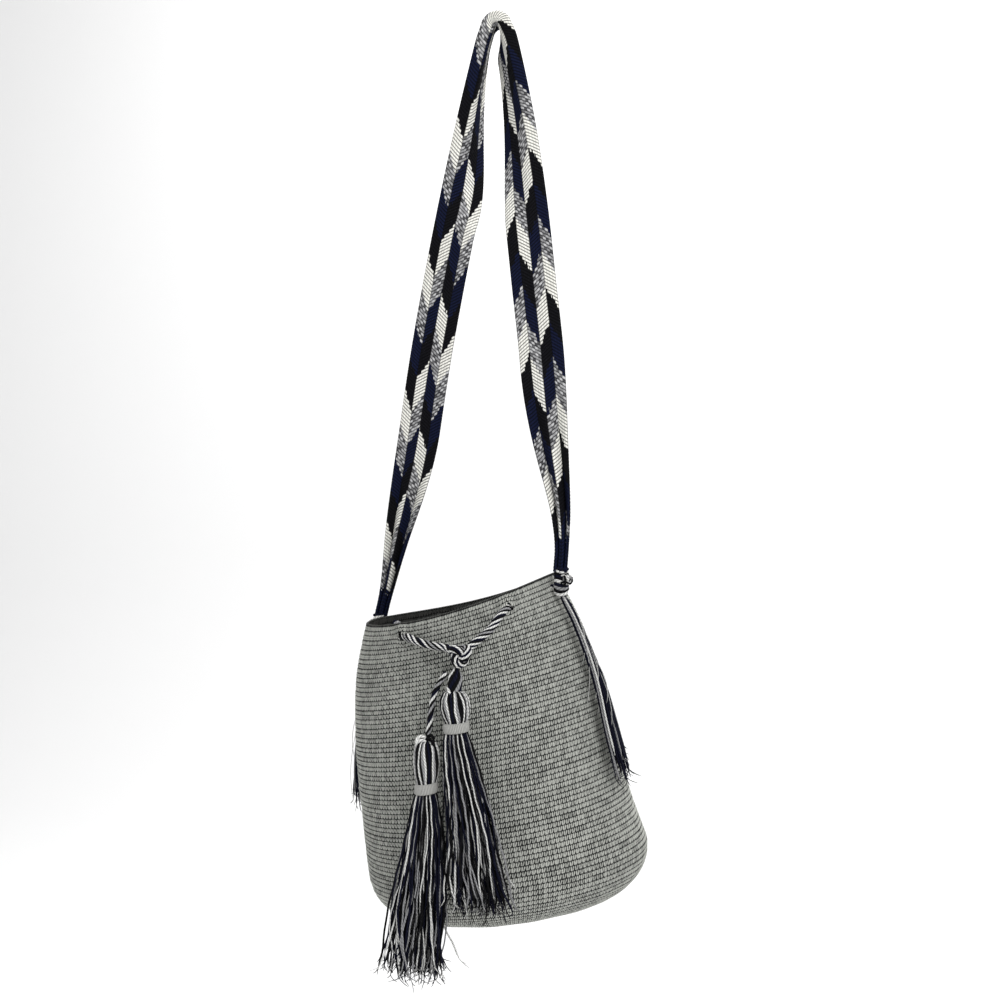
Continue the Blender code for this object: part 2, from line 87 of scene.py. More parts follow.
STRAP_THICK = 0.003
FOOT_WIDTH = 0.011
FOOT_CLEAR = 0.0038
FOOT_PLAIN = 0.020
FOOT_GATHER = 0.175
GATHER_POWER = 1.3
STRAP_STEP = 0.009
CREASE_AT = 0.009
CREASE_WIDTH = 0.004
# the fold on the left and right strand: degrees at the peg, reach along it, power
CREASE_LEFT = (106.0, 0.2095, 1.95)
CREASE_RIGHT = (64.0, 0.205, 1.7)
CREASE_BLEND = (-0.010, 0.030)

FOOT_RIGHT = 74.0
FOOT_LEFT = -112.0
TIE_BELOW_RIM = 0.013
TIE_STANDOFF = 0.0105
TIE_RADIUS = 0.0068
FRINGE_LENGTH = 0.165
FRINGE_GAP = 0.0009
FRINGE_START = 0.0034  # half width and depth a little below the tie
FRINGE_WIDE = 0.0130
FRINGE_DEEP = 0.0060
FRINGE_RISE = 0.003
FRINGE_LEAN_LEFT = 0.0
FRINGE_LEAN_RIGHT = 0.020

# degrees from the front towards the right, millimetres below the rim, millimetres out
DRAWSTRING_ROUTE = (
    (5.5, 33.0, 12.0), (0.0, 29.5, 10.8), (-5.5, 25.0, 8.5), (-11.0, 20.5, 6.2),
    (-15.8, 17.0, 2.6), (-20.0, 15.0, -2.0), (-25.0, 15.0, -6.9), (-32.0, 17.0, -7.6),
    (-43.0, 20.5, -7.6), (-57.0, 24.0, -7.6), (-73.0, 26.5, -7.6), (-90.0, 27.5, -7.6),
    (-108.0, 27.5, -7.6), (-123.0, 25.0, -7.6), (-135.0, 21.0, -7.6),
    (-143.0, 17.5, -6.9), (-148.0, 16.0, -2.0), (-152.5, 15.5, 2.6),
    (-159.0, 15.5, 4.8), (-170.0, 16.5, 4.8), (-182.0, 17.0, 4.8), (-194.0, 16.5, 4.8),
    (-205.0, 15.5, 4.8), (-211.5, 15.5, 2.6), (-216.0, 16.0, -2.0),
    (-221.0, 17.5, -6.9), (-229.0, 21.0, -7.6), (-241.0, 25.0, -7.6),
    (-256.0, 27.5, -7.6), (-272.0, 28.0, -7.6), (-288.0, 27.5, -7.6),
    (-301.0, 24.0, -7.6), (-310.5, 19.0, -7.6), (-316.5, 16.5, -6.9),
    (-321.0, 16.0, -2.0), (-325.0, 18.0, 2.8), (-329.5, 22.0, 7.2), (-334.5, 28.5, 11.5),
)
EYELETS = (5, 16, 24, 34)
CORD_DIAMETER = 0.007
END_ROUTE = (
    (-0.0185, -0.1065, -0.5795), (-0.0235, -0.1070, -0.5870),
    (-0.0285, -0.1075, -0.5965), (-0.0312, -0.1075, -0.6080),
    (-0.0325, -0.1075, -0.6200), (-0.0345, -0.1075, -0.6330),
)
END_DIAMETER = 0.005
KNOT_CENTRE = (-0.0064, -0.1080, -0.5645)
KNOT_SIZE = 0.0026

TASSEL_Y = -0.1075
TASSEL_UPPER = (
    (-0.0115, -0.5930, 0.0045, 0.0045), (-0.0115, -0.5960, 0.0092, 0.0090),
    (-0.0113, -0.6010, 0.0120, 0.0115), (-0.0110, -0.6080, 0.0127, 0.0122),
    (-0.0105, -0.6150, 0.0115, 0.0110), (-0.0100, -0.6205, 0.0093, 0.0090),
    (-0.0096, -0.6290, 0.0093, 0.0090), (-0.0088, -0.6380, 0.0118, 0.0098),
    (-0.0055, -0.6600, 0.0160, 0.0098), (0.0000, -0.6950, 0.0200, 0.0100),
    (0.0055, -0.7350, 0.0230, 0.0100), (0.0095, -0.7700, 0.0250, 0.0095),
)
TASSEL_LOWER = (
    (-0.0355, -0.6350, 0.0040, 0.0040), (-0.0355, -0.6390, 0.0082, 0.0082),
    (-0.0356, -0.6450, 0.0105, 0.0105), (-0.0357, -0.6550, 0.0112, 0.0112),
    (-0.0358, -0.6650, 0.0102, 0.0102), (-0.0358, -0.6725, 0.0082, 0.0082),
    (-0.0358, -0.6815, 0.0082, 0.0082), (-0.0362, -0.6900, 0.0108, 0.0095),
    (-0.0375, -0.7150, 0.0160, 0.0098), (-0.0405, -0.7500, 0.0205, 0.0100),
    (-0.0440, -0.7900, 0.0240, 0.0100), (-0.0465, -0.8280, 0.0260, 0.0095),
)
LOOP_TOP = (-0.0100, -0.1075, -0.5765)
LOOP_BOTTOM = (-0.0114, -0.1075, -0.5924)

# ---------------------------------------------------------------- stitches and pattern
STITCHES = 190  # in each round of the bag
ROUND_HEIGHT = 0.0046
STITCH_COLUMNS = 4  # mesh steps across one stitch
STITCH_ROWS = 4  # mesh steps down one stitch
STITCH_RELIEF = 0.0011
STITCH_DRIFT = 0.13  # how far each round's stitches lean past those of the round above
WALL_CUTS = (23, 46)  # rounds below which a new mesh of the wall begins
BASE_ROUNDS = 15
BASE_STITCHES = 9  # that each round of the base gains on the one inside it
DEEP_ROUNDS = 9  # every so many rounds, one groove lies deeper, with painted shade along it
HOLE_CORE = 0.0022  # stitches this near an eyelet's middle are left out
HOLE_RING = 0.0046  # the eyelet's radius
HOLE_REACH = 0.0125  # how far from its middle stitches are pushed aside
STITCH_SLANT = 0.30  # how far a stitch leans within its round
LEG_START = 0.14  # a stitch's two yarn legs: how far apart they end, from 0 to 0.5
LEG_SPLAY = 0.18  # how much further apart they begin
LEG_HALF = 0.24  # half the width of a leg
PIT_WIDE = 0.30  # half width and half height of the pit at a stitch's corner, dented in the mesh and darkened as painted shade
PIT_TALL = 0.20

YARN_PLIES = 3.0
YARN_PITCH = 0.0032
SKIRT_THREADS = 150
FRINGE_THREADS = 64
GOLDEN = math.pi * (3 - math.sqrt(5))  # a turn that spreads threads evenly over a disc

LANES = 4  # bands of colour side by side along the strap
PATTERN_LENGTH = 0.130  # after which each lane's four blocks repeat
LANE_STARTS = (0.112, 0.014, 0.077, 0.041)  # where each lane's cream block begins
BLOCK_SLANT = 0.0210  # how far a block's end runs along the strap across one lane
BRAID_PITCH = 0.0031  # from one rib of the braid to the next, along the strap
BRAID_SLANT = 0.0075  # how far a rib runs along the strap across one lane
BRAID_RELIEF = 0.00045
STRAP_FINER = 13  # mesh rows for each of the strap's steps
RIB_OVALS = 4  # ovals in each rib of the braid, across one lane
PLAIN_END = 0.024  # the length at each foot where the strap's yarn is navy

CREAM = (0.90, 0.89, 0.83)
STRAP_BLACK = (0.004, 0.004, 0.006)
STRAP_NAVY = (0.005, 0.008, 0.030)
STRAP_GREY = (0.52, 0.52, 0.53)
STRAP_GREY_DARK = (0.075, 0.075, 0.08)
YARN_NAVY = (0.004, 0.005, 0.017)
YARN_BLACK = (0.004, 0.004, 0.005)
YARN_GREY = (0.34, 0.34, 0.35)
YARN_WHITE = (0.82, 0.82, 0.80)
CROCHET_LIGHT = (0.60, 0.61, 0.565)
# painted shade: the colour of the gaps and pits between stitches
CROCHET_GAP_SHADE = (0.028, 0.030, 0.029)
# the inside and the lip: the same grey yarn, darkened as painted shade
IN_SHADE_LIGHT = (0.10, 0.102, 0.096)
IN_SHADE_DARK = (0.006, 0.006, 0.006)
BINDING_LIGHT = (0.60, 0.60, 0.575)
BINDING_DARK = (0.10, 0.10, 0.095)
# a thread's tone is a number from 0 to 1, and these are the colours from each value up
TONES = ((0.0, YARN_NAVY), (0.25, YARN_BLACK), (0.5, YARN_GREY), (0.75, YARN_WHITE))
NAVY, BLACK, GREY, WHITE = 0.1, 0.35, 0.6, 0.9
FRINGE_SHARES = (0.62, 0.18, 0.12, 0.08)  # of the fringes' threads, by tone
TONE_ORDER = (NAVY, BLACK, GREY, WHITE)
HEAD_TONES = (WHITE, GREY, BLACK, BLACK, WHITE, BLACK, GREY, WHITE, BLACK, NAVY, BLACK)
SKIRT_SLOTS = 46  # places round a skirt, each with the next tone
SKIRT_TONES = (BLACK, GREY, BLACK, WHITE, NAVY, BLACK, WHITE, BLACK, NAVY, GREY, NAVY)
ROPE_TONES = (WHITE, BLACK, NAVY, WHITE, BLACK, GREY, BLACK, WHITE, NAVY)


# ---------------------------------------------------------------- shapes from the part
def curve_between(a, b, c, d, f):
    """The point a share f of the way from b to c, on a smooth curve through all four."""
    return 0.5 * (2 * b + (c - a) * f + (2 * a - 5 * b + 4 * c - d) * f * f
                  + (3 * b - a - 3 * c + d) * f ** 3)


def blend_rows(rows, share):
    """The row at a share of the way through evenly spaced rows, on a smooth curve."""
    last = len(rows) - 1
    place = min(max(share, 0.0), 1.0) * last
    i = min(int(place), last - 1)
    near = (np.array(rows[min(max(i + k, 0), last)]) for k in (-1, 0, 1, 2))
    return curve_between(*near, place - i)


def bag_ring(share, angles, inset=0.0, drop=0.0):
    """Points of the bag at one depth, for an array of angles in radians from the front."""
    x, y, z, half_width, half_depth, tilt = blend_rows(BAG_RINGS, share)
    tilt = math.radians(tilt)
    across = np.array((math.cos(tilt), 0.0, math.sin(tilt)))
    up = np.array((-math.sin(tilt), 0.0, math.cos(tilt)))
    fade = max(0.0, 1 - share / SAG_DEPTH) ** 1.5
    inset = np.asarray(inset) + np.zeros(len(angles))
    points = np.array((x, y, z)) - up * drop
    points = points + np.outer((half_width - inset) * np.sin(angles), across)
    points[:, 1] -= (half_depth - inset) * np.cos(angles)
    points[:, 2] -= MOUTH_SAG * fade * np.cos(angles) ** 2
    return points


def bag_point(share, degrees, inset=0.0):
    return Vector(bag_ring(share, np.array([math.radians(degrees)]), inset)[0])


def smooth_path(points, step):
    """Points a step apart on one smooth curve through the given points."""
    points = [np.array(p, float) for p in points]
    ring = [points[0] * 2 - points[1]] + points + [points[-1] * 2 - points[-2]]
    fine = []
    for i in range(1, len(ring) - 2):
        for f in np.linspace(0, 1, 24, endpoint=False):
            fine.append(curve_between(*ring[i - 1:i + 3], f))
    fine.append(points[-1])
    return even_path(np.array(fine), step)


def distances(points):
    """How far along a line each of its points lies."""
    steps = np.linalg.norm(np.diff(points, axis=0), axis=1)
    return np.concatenate(([0.0], np.cumsum(steps)))


def even_path(points, step):
    """The same line with its points an even step apart."""
    gone = distances(points)
    count = max(2, round(gone[-1] / step))
    want = np.linspace(0, gone[-1], count + 1)
    return np.stack([np.interp(want, gone, points[:, k]) for k in range(3)], axis=1)


def path_length(path):
    return float(np.linalg.norm(np.diff(path, axis=0), axis=1).sum())


def unit(vectors):
    return vectors / np.maximum(np.linalg.norm(vectors, axis=-1, keepdims=True), 1e-9)


def tie_places():
    """Where the ties pass through the wall, left and right, and the direction between."""
    share = TIE_BELOW_RIM / BAG_DEPTH
    left = np.array(bag_point(share, FOOT_LEFT))
    right = np.array(bag_point(share, FOOT_RIGHT))
    return left, right, unit(right - left)


def strap_edge():
    """The strap's outer edge, ending just above the two ties."""
    left, right, across = tie_places()
    lift = np.array((0, 0, TIE_RADIUS + FOOT_CLEAR))
    half = np.array((across[0], across[1], 0)) * FOOT_WIDTH / 2
    return ([left - across * TIE_STANDOFF + lift - half] + [np.array(p) for p in STRAP_EDGE]
            + [right + across * TIE_STANDOFF + lift + half])


# ---------------------------------------------------------------- mesh building
def mesh_from(name, points, quads, uvs, material, ride, caps=(), tones=None):
    """An object from arrays: points, quads, extra cap faces, and values per point."""
    faces = [tuple(q) for q in quads] + [tuple(c) for c in caps]
    mesh = bpy.data.meshes.new(name)
    mesh.from_pydata([tuple(p) for p in points], [], faces)
    mesh.validate()
    layer = mesh.uv_layers.new(name="fabric")
    index = np.zeros(len(mesh.loops), dtype=np.int64)
    mesh.loops.foreach_get("vertex_index", index)
    layer.data.foreach_set("uv", np.asarray(uvs, dtype=np.float32)[index].ravel())
    if tones is not None:
        data = mesh.attributes.new("tone", "FLOAT", "POINT")
        data.data.foreach_set("value", np.asarray(tones, dtype=np.float32))
    mesh.shade_smooth()
    thing = bpy.data.objects.new(name, mesh)
    bpy.context.collection.objects.link(thing)
    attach(thing, ride)
    mesh.materials.append(material)
    return thing


def grid_quads(rows, columns, closed, start=0):
    """Quads between rows of points, closed round each row or open."""
    steps = columns if closed else columns - 1
    i = np.arange(rows - 1)[:, None] * columns
    j = np.arange(steps)[None, :]
    k = (j + 1) % columns
    quads = np.stack([i + j, i + k, i + columns + k, i + columns + j], axis=-1)
    return quads.reshape(-1, 4) + start


def turned_frames(path):
    """Two directions across a path at each of its points, with no twist along it."""
    ahead = unit(np.gradient(path, axis=0))
    side = np.cross(ahead[0], (0.31, 0.52, 0.79))
    sides = []
    for way in ahead:
        side = side - way * side.dot(way)
        side = side / np.linalg.norm(side)
        sides.append((side, np.cross(way, side)))
    return sides


class Bundle:
    """Many round threads gathered into one mesh, each with its own tone."""

    def __init__(self):
        self.points = []
        self.quads = []
        self.caps = []
        self.uvs = []
        self.tones = []
        self.count = 0

    def add(self, path, radius, tone, sides=6):
        """A round thread along a path, half as thick at both ends."""
        path = np.asarray(path)
        rings = len(path)
        radius = np.broadcast_to(radius, rings).astype(float).copy()
        radius[[0, -1]] *= 0.5
        gone = distances(path)
        turn = np.arange(sides + 1) * math.tau / sides
        for i, (side, other) in enumerate(turned_frames(path)):
            ring = path[i] + radius[i] * (np.outer(np.cos(turn), side)
                                          + np.outer(np.sin(turn), other))
            self.points.append(ring)
            self.uvs.append(np.stack([turn / math.tau, np.full(sides + 1, gone[i])], axis=1))
            self.tones.append(np.broadcast_to(tone, sides + 1))
        columns = sides + 1
        self.quads.append(grid_quads(rings, columns, False, self.count))
        first = self.count
        last = self.count + (rings - 1) * columns
        self.caps.append(tuple(range(first + sides - 1, first - 1, -1)))
        self.caps.append(tuple(range(last, last + sides)))
        self.count += rings * columns

    def make(self, name, material, ride):
        points, quads, uvs, tones = (np.concatenate(rows) for rows in (
            self.points, self.quads, self.uvs, self.tones))
        return mesh_from(name, points, quads, uvs, material, ride, self.caps, tones)


# ---------------------------------------------------------------- materials
class Value:
    """A number worked out in a node tree, written with the usual signs."""

    def __init__(self, tree, socket):
        self.tree = tree
        self.socket = socket

    def math(self, operation, *others):
        node = self.tree.nodes.new("ShaderNodeMath")
        node.operation = operation
        for socket, value in zip(node.inputs, (self,) + others):
            connect(self.tree, value, socket)
        return Value(self.tree, node.outputs[0])

    def __add__(self, other):
        return self.math("ADD", other)

    def __sub__(self, other):
        return self.math("SUBTRACT", other)

    def __rsub__(self, other):
        return self * -1.0 + other

    def __mul__(self, other):
        return self.math("MULTIPLY", other)

    def __truediv__(self, other):
        return self.math("DIVIDE", other)

    def __mod__(self, other):
        return self.math("MODULO", other)

    def __pow__(self, other):
        return self.math("POWER", other)

    def __abs__(self):
        return self.math("ABSOLUTE")

    def floor(self):
        return self.math("FLOOR")

    def fract(self):
        return self.math("FRACT")

    def off_middle(self):
        """How far its fraction is from one half."""
        return abs(self.fract() - 0.5)

    def over(self, limit):
        """1 above a limit, 0 below it."""
        return self.math("GREATER_THAN", limit)

    def smooth(self, low, high):
        """0 below low, 1 above high, smooth between; falling where high is below low."""
        node = self.tree.nodes.new("ShaderNodeMapRange")
        node.interpolation_type = "SMOOTHSTEP"
        flip = high < low
        connect(self.tree, self, node.inputs["Value"])
        node.inputs["From Min"].default_value = min(low, high)
        node.inputs["From Max"].default_value = max(low, high)
        node.inputs["To Min"].default_value = 1.0 if flip else 0.0
        node.inputs["To Max"].default_value = 0.0 if flip else 1.0
        return Value(self.tree, node.outputs["Result"])


def connect(tree, value, socket):
    """Links a value or another node's output to a socket, or sets a constant on it."""
    if isinstance(value, Value):
        value = value.socket
    if hasattr(value, "is_output"):
        tree.links.new(value, socket)
    elif hasattr(value, "__len__"):
        socket.default_value = (*value, 1.0)
    else:
        socket.default_value = value


class Nodes:
    """Short calls that build one matt material's node tree."""

    def __init__(self, name):
        self.material = bpy.data.materials.new(name)
        self.material.use_nodes = True
        self.tree = self.material.node_tree
        self.shader = self.tree.nodes["Principled BSDF"]
        self.shader.inputs["Roughness"].default_value = 0.9
        self.shader.inputs["Specular IOR Level"].default_value = 0.12

    def mix(self, share, first, second, blend="MIX"):
        node = self.tree.nodes.new("ShaderNodeMix")
        node.data_type = "RGBA"
        node.blend_type = blend
        connect(self.tree, share, node.inputs["Factor"])
        connect(self.tree, first, node.inputs[6])
        connect(self.tree, second, node.inputs[7])
        return node.outputs[2]

    def shaded(self, colour, shade):
        """A colour multiplied by a number."""
        grey = self.tree.nodes.new("ShaderNodeCombineColor")
        for socket in grey.inputs[:3]:
            connect(self.tree, shade, socket)
        return self.mix(1.0, colour, grey.outputs[0], "MULTIPLY")

    def uv(self):
        node = self.tree.nodes.new("ShaderNodeUVMap")
        node.uv_map = "fabric"
        split = self.tree.nodes.new("ShaderNodeSeparateXYZ")
        self.tree.links.new(node.outputs[0], split.inputs[0])
        return Value(self.tree, split.outputs[0]), Value(self.tree, split.outputs[1])

    def noise(self, scale):
        """Soft random variation fixed to the object's own coordinates."""
        place = self.tree.nodes.new("ShaderNodeTexCoord")
        node = self.tree.nodes.new("ShaderNodeTexNoise")
        node.inputs["Scale"].default_value = scale
        node.inputs["Detail"].default_value = 3.0
        self.tree.links.new(place.outputs["Object"], node.inputs["Vector"])
        return Value(self.tree, node.outputs[0])

    def cell_noise(self, first, second):
        """One random value from 0 to 1 for each pair of whole numbers."""
        join = self.tree.nodes.new("ShaderNodeCombineXYZ")
        connect(self.tree, first, join.inputs[0])
        connect(self.tree, second, join.inputs[1])
        node = self.tree.nodes.new("ShaderNodeTexWhiteNoise")
        node.noise_dimensions = "2D"
        self.tree.links.new(join.outputs[0], node.inputs["Vector"])
        return Value(self.tree, node.outputs["Value"])

    def finish(self, colour, height, distance):
        """Sets the colour, and a bump that is a distance high."""
        connect(self.tree, colour, self.shader.inputs["Base Color"])
        bump = self.tree.nodes.new("ShaderNodeBump")
        bump.inputs["Distance"].default_value = distance
        connect(self.tree, height, bump.inputs["Height"])
        self.tree.links.new(bump.outputs[0], self.shader.inputs["Normal"])
        return self.material


def crochet_material(name, light, dark):
    """Single crochet: two yarn legs in each stitch, with pits at its corners; painted shade
    darkens the pits, the lines between rounds and the yarn beside the legs.
    """
    n = Nodes(name)
    across, down = n.uv()
    v = down.fract()
    beside = (across + (v - 0.5) * STITCH_SLANT).off_middle()
    to_seam = 0.5 - beside
    to_round = 0.5 - down.off_middle()
    # painted shade: the pits, the line between rounds and the yarn beside each leg are darker
    # in the colour, not only lower in the bump
    pit = ((to_seam / PIT_WIDE) ** 2 + (to_round / PIT_TALL) ** 2).smooth(1.25, 0.35)
    line = to_round.smooth(0.15, 0.0) * 0.60
    off = abs(beside - (1 - v) * LEG_SPLAY - LEG_START)
    leg = off.smooth(LEG_HALF, LEG_HALF * 0.2) * 0.72 + 0.28
    relief_and_shade = leg * (1 - pit.math("MAXIMUM", line))
    # painted shade along the deeper groove of every so many rounds
    deep = (down.floor() % DEEP_ROUNDS).math("COMPARE", 0.0, 0.1)
    relief_and_shade = relief_and_shade - deep * v.smooth(0.5, 0.0) * 0.16
    twist = ((beside * 1.6 + v) * 26.0).math("SINE")
    stitch = n.cell_noise(across.floor(), down.floor())
    whole_round = n.cell_noise(3.0, down.floor())
    fibres = n.noise(1400.0)
    # shade: that painted shade and painted shade in the twist's grooves, with tone that
    # differs at random by stitch, by round and in the fibres
    shade = (relief_and_shade + (n.noise(14.0) - 0.5) * 0.16 + (stitch - 0.5) * 0.40
             + (whole_round - 0.5) * 0.12 + (fibres - 0.5) * 0.70 + twist * 0.10)
    colour = n.mix(shade.smooth(0.12, 0.98), dark, light)
    return n.finish(colour, relief_and_shade + twist * 0.10 + fibres * 0.15, 0.0010)


def strap_material():
    """Four lanes of slanting blocks in cream, black, navy and grey, in a fine braid."""
    n = Nodes("strap_braid")
    across, along = n.uv()
    lanes = across * LANES
    lane = lanes.floor().math("MINIMUM", LANES - 1)
    inside = lanes - lane - 0.5
    way = inside * (1 - (lane % 2) * 2)  # neighbouring lanes slant opposite ways
    start = 0.0
    for k, begin in enumerate(LANE_STARTS):
        start = lane.math("COMPARE", k, 0.1) * begin + start
    # the braid: slanting ribs of small ovals, each oval a step along from the last
    rib = (along + way * BRAID_SLANT) / BRAID_PITCH
    column = across * (LANES * RIB_OVALS)
    # body: lighter on the ribs and ovals, darker between them and towards each lane's edges:
    # painted shade in the braid's grooves, also used as bump
    body = rib.off_middle().smooth(0.52, 0.22)
    body = body * (column.off_middle().smooth(0.52, 0.30) * 0.30 + 0.70)
    body = body * (abs(inside).smooth(0.50, 0.42) * 0.45 + 0.55)
    oval = n.cell_noise(column.floor(), rib.floor())
    fibres = n.noise(1500.0)
    # a block's end steps from one oval to the next, so its place is the oval's own
    place = (rib.floor() + 0.5) * BRAID_PITCH + way * (BLOCK_SLANT - BRAID_SLANT) - start
    share = (place / PATTERN_LENGTH).fract() + (oval - 0.5) * 0.030
    checks = abs((column.floor() + rib.floor()) % 2)
    speck = (checks * 0.45 + oval * 0.55).smooth(0.10, 0.85)
    grey = n.mix(speck, STRAP_GREY_DARK, STRAP_GREY)
    colour = n.mix(share.over(0.25), CREAM, STRAP_BLACK)
    colour = n.mix(share.over(0.50), colour, STRAP_NAVY)
    colour = n.mix(share.over(0.75), colour, grey)
    first, last = strap_ends()
    right_end = (along + oval * 0.012).over(last - PLAIN_END)
    left_end = (along - oval * 0.012).math("LESS_THAN", first + PLAIN_END)
    colour = n.mix(right_end.math("MAXIMUM", left_end), colour, STRAP_NAVY)
    # shade: the braid's painted shade, with tone that differs at random in the fibres and
    # ovals
    shade = body * 0.92 + 0.06 + (fibres - 0.5) * 0.25 + (oval - 0.5) * 0.14
    return n.finish(n.shaded(colour, shade), body + fibres * 0.15, 0.0005)


def yarn_material():
    """Twisted three-ply yarn that takes its colour from each thread's tone, with painted
    shade in the grooves between its plies.
    """
    n = Nodes("yarn_twisted")
    around, along = n.uv()
    tone = n.tree.nodes.new("ShaderNodeAttribute")
    tone.attribute_name = "tone"
    ramp = n.tree.nodes.new("ShaderNodeValToRGB")
    ramp.color_ramp.interpolation = "CONSTANT"
    points = ramp.color_ramp.elements
    while len(points) < len(TONES):
        points.new(0.5)
    for point, (position, colour) in zip(points, TONES):
        point.position = position
        point.color = (*colour, 1.0)
    n.tree.links.new(tone.outputs["Fac"], ramp.inputs[0])
    lobe = (around * YARN_PLIES + along / YARN_PITCH).off_middle().smooth(0.5, 0.2)
    fibres = n.noise(1600.0)
    # painted shade: darker in the grooves between the plies
    shade = lobe * 0.55 + 0.45 + (fibres - 0.5) * 0.45
    return n.finish(n.shaded(ramp.outputs[0], shade), lobe + fibres * 0.35, 0.0004)


def binding_material():
    """Plain matt cotton with a fine slanting plait, for the tassels' bindings; painted shade
    darkens the plait's grooves.
    """
    n = Nodes("binding_cotton")
    around, along = n.uv()
    plait = (around * 60.0 + along * 9.0).math("SINE")
    # painted shade: darker in the plait's grooves, with fibres of random tone
    shade = plait * 0.26 + n.noise(1500.0) * 0.6 + 0.2
    return n.finish(n.mix(shade, BINDING_DARK, BINDING_LIGHT), shade, 0.0005)


# ---------------------------------------------------------------- the bag
def stitch_height(across, down):
    """The relief of one crochet stitch, 0 in its gaps to 1 on its legs."""
    v = down % 1.0
    to_seam = 0.5 - np.abs((across + STITCH_SLANT * (v - 0.5)) % 1.0 - 0.5)
    to_round = 0.5 - np.abs(v - 0.5)
    pit = np.clip(1 - (to_seam / PIT_WIDE) ** 2 - (to_round / (PIT_TALL * 1.4)) ** 2, 0, 1)
    line = 0.55 * np.clip(1 - (to_round / 0.25) ** 2, 0, 1)
    off = np.abs(0.5 - to_seam - LEG_START - LEG_SPLAY * (1 - v))
    leg = 0.4 + 0.6 * np.clip(1 - (off / LEG_HALF) ** 2, 0, 1)
    return leg * (1 - np.maximum(pit, line))


def open_holes(points, quads):
    """Pushes stitches aside round each eyelet and leaves out those in its middle."""
    keep = np.ones(len(quads), dtype=bool)
    for i in EYELETS:
        angle, below, _ = DRAWSTRING_ROUTE[i]
        hole = np.array(bag_point(below / 1000 / BAG_DEPTH, angle, WALL / 2))
        away = points - hole
        distance = np.linalg.norm(away, axis=1)
        share = np.clip((distance - HOLE_CORE) / (HOLE_REACH - HOLE_CORE), 0, 1)
        wanted = HOLE_RING + (HOLE_REACH - HOLE_RING) * share
        keep &= distance[quads].min(axis=1) >= HOLE_CORE
        move = (distance < HOLE_REACH) & (distance > 1e-6)
        points[move] = hole + away[move] / distance[move, None] * wanted[move, None]
    return points, quads[keep]


def wall_sections():
    """Depth share, inset and drop for each mesh row down the outside, evenly spaced."""
    fine = [(share, 0.0, 0.0) for share in np.linspace(0, 1, 241)]
    for bend in np.linspace(0, math.pi / 2, 81)[1:]:
        fine.append((1.0, EDGE_IN * (1 - math.cos(bend)), EDGE_DOWN * math.sin(bend)))
    angle = np.array([math.pi / 2])
    gone = distances(np.array([bag_ring(s, angle, i, d)[0] for s, i, d in fine]))
    rounds = round(gone[-1] / ROUND_HEIGHT)
    want = np.linspace(0, gone[-1], rounds * STITCH_ROWS + 1)
    fine = np.array(fine)
    return rounds, [tuple(np.interp(w, gone, fine[:, k]) for k in range(3)) for w in want]


def outside_grid():
    """The outer wall's points, normals and stitch coordinates, row by row."""
    rounds, sections = wall_sections()
    columns = STITCHES * STITCH_COLUMNS + 1
    turn = np.linspace(0, math.tau, columns)
    rows = len(sections)
    points = np.zeros((rows, columns, 3))
    for i, (share, inset, drop) in enumerate(sections):
        points[i] = bag_ring(share, turn, inset, drop)
    down = np.arange(rows) / STITCH_ROWS
    across = (turn / math.tau * STITCHES)[None, :] + (down * STITCH_DRIFT)[:, None]
    down = np.repeat(down[:, None], columns, axis=1)
    along_u = np.gradient(points, axis=1)
    along_u[:, 0] = along_u[:, -1] = points[:, 1] - points[:, -2]
    normal = unit(np.cross(np.gradient(points, axis=0), along_u))
    return rounds, points, normal, across, down, turn


def make_bag():
    rounds, points, normal, across, down, turn = outside_grid()
    relief = stitch_height(across, down) - 0.45
    lumps = 0.35 * np.sin(turn * 7 + 1.3)[None, :] * np.sin(down / 5.0)
    lumps = lumps + 0.25 * np.sin(turn * 16 + down * 0.31)
    beat = np.abs((down % DEEP_ROUNDS) - DEEP_ROUNDS / 2)
    groove = -0.6 * np.clip(1 - beat / 0.6, 0, 1)
    offset = relief * STITCH_RELIEF + (lumps + groove) * 0.0006
    top_fade = np.clip(down / 2.0, 0.2, 1.0)
    surface = points + normal * (offset * top_fade)[..., None]
    pieces = []
    cuts = [0, *WALL_CUTS, rounds]
    for number, (first, last) in enumerate(zip(cuts, cuts[1:])):
        low, high = first * STITCH_ROWS, last * STITCH_ROWS + 1
        part = surface[low:high].reshape(-1, 3)
        uv = np.stack([across[low:high], down[low:high]], axis=-1).reshape(-1, 2)
        quads = grid_quads(high - low, surface.shape[1], False)[:, ::-1]
        part, quads = open_holes(part, quads)
        pieces.append(mesh_from(f"bag_wall_{number + 1}", part, quads, uv, CROCHET,
                                "bag"))
    make_inside()
    make_base()
    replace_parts(pieces[0], "bag_body")


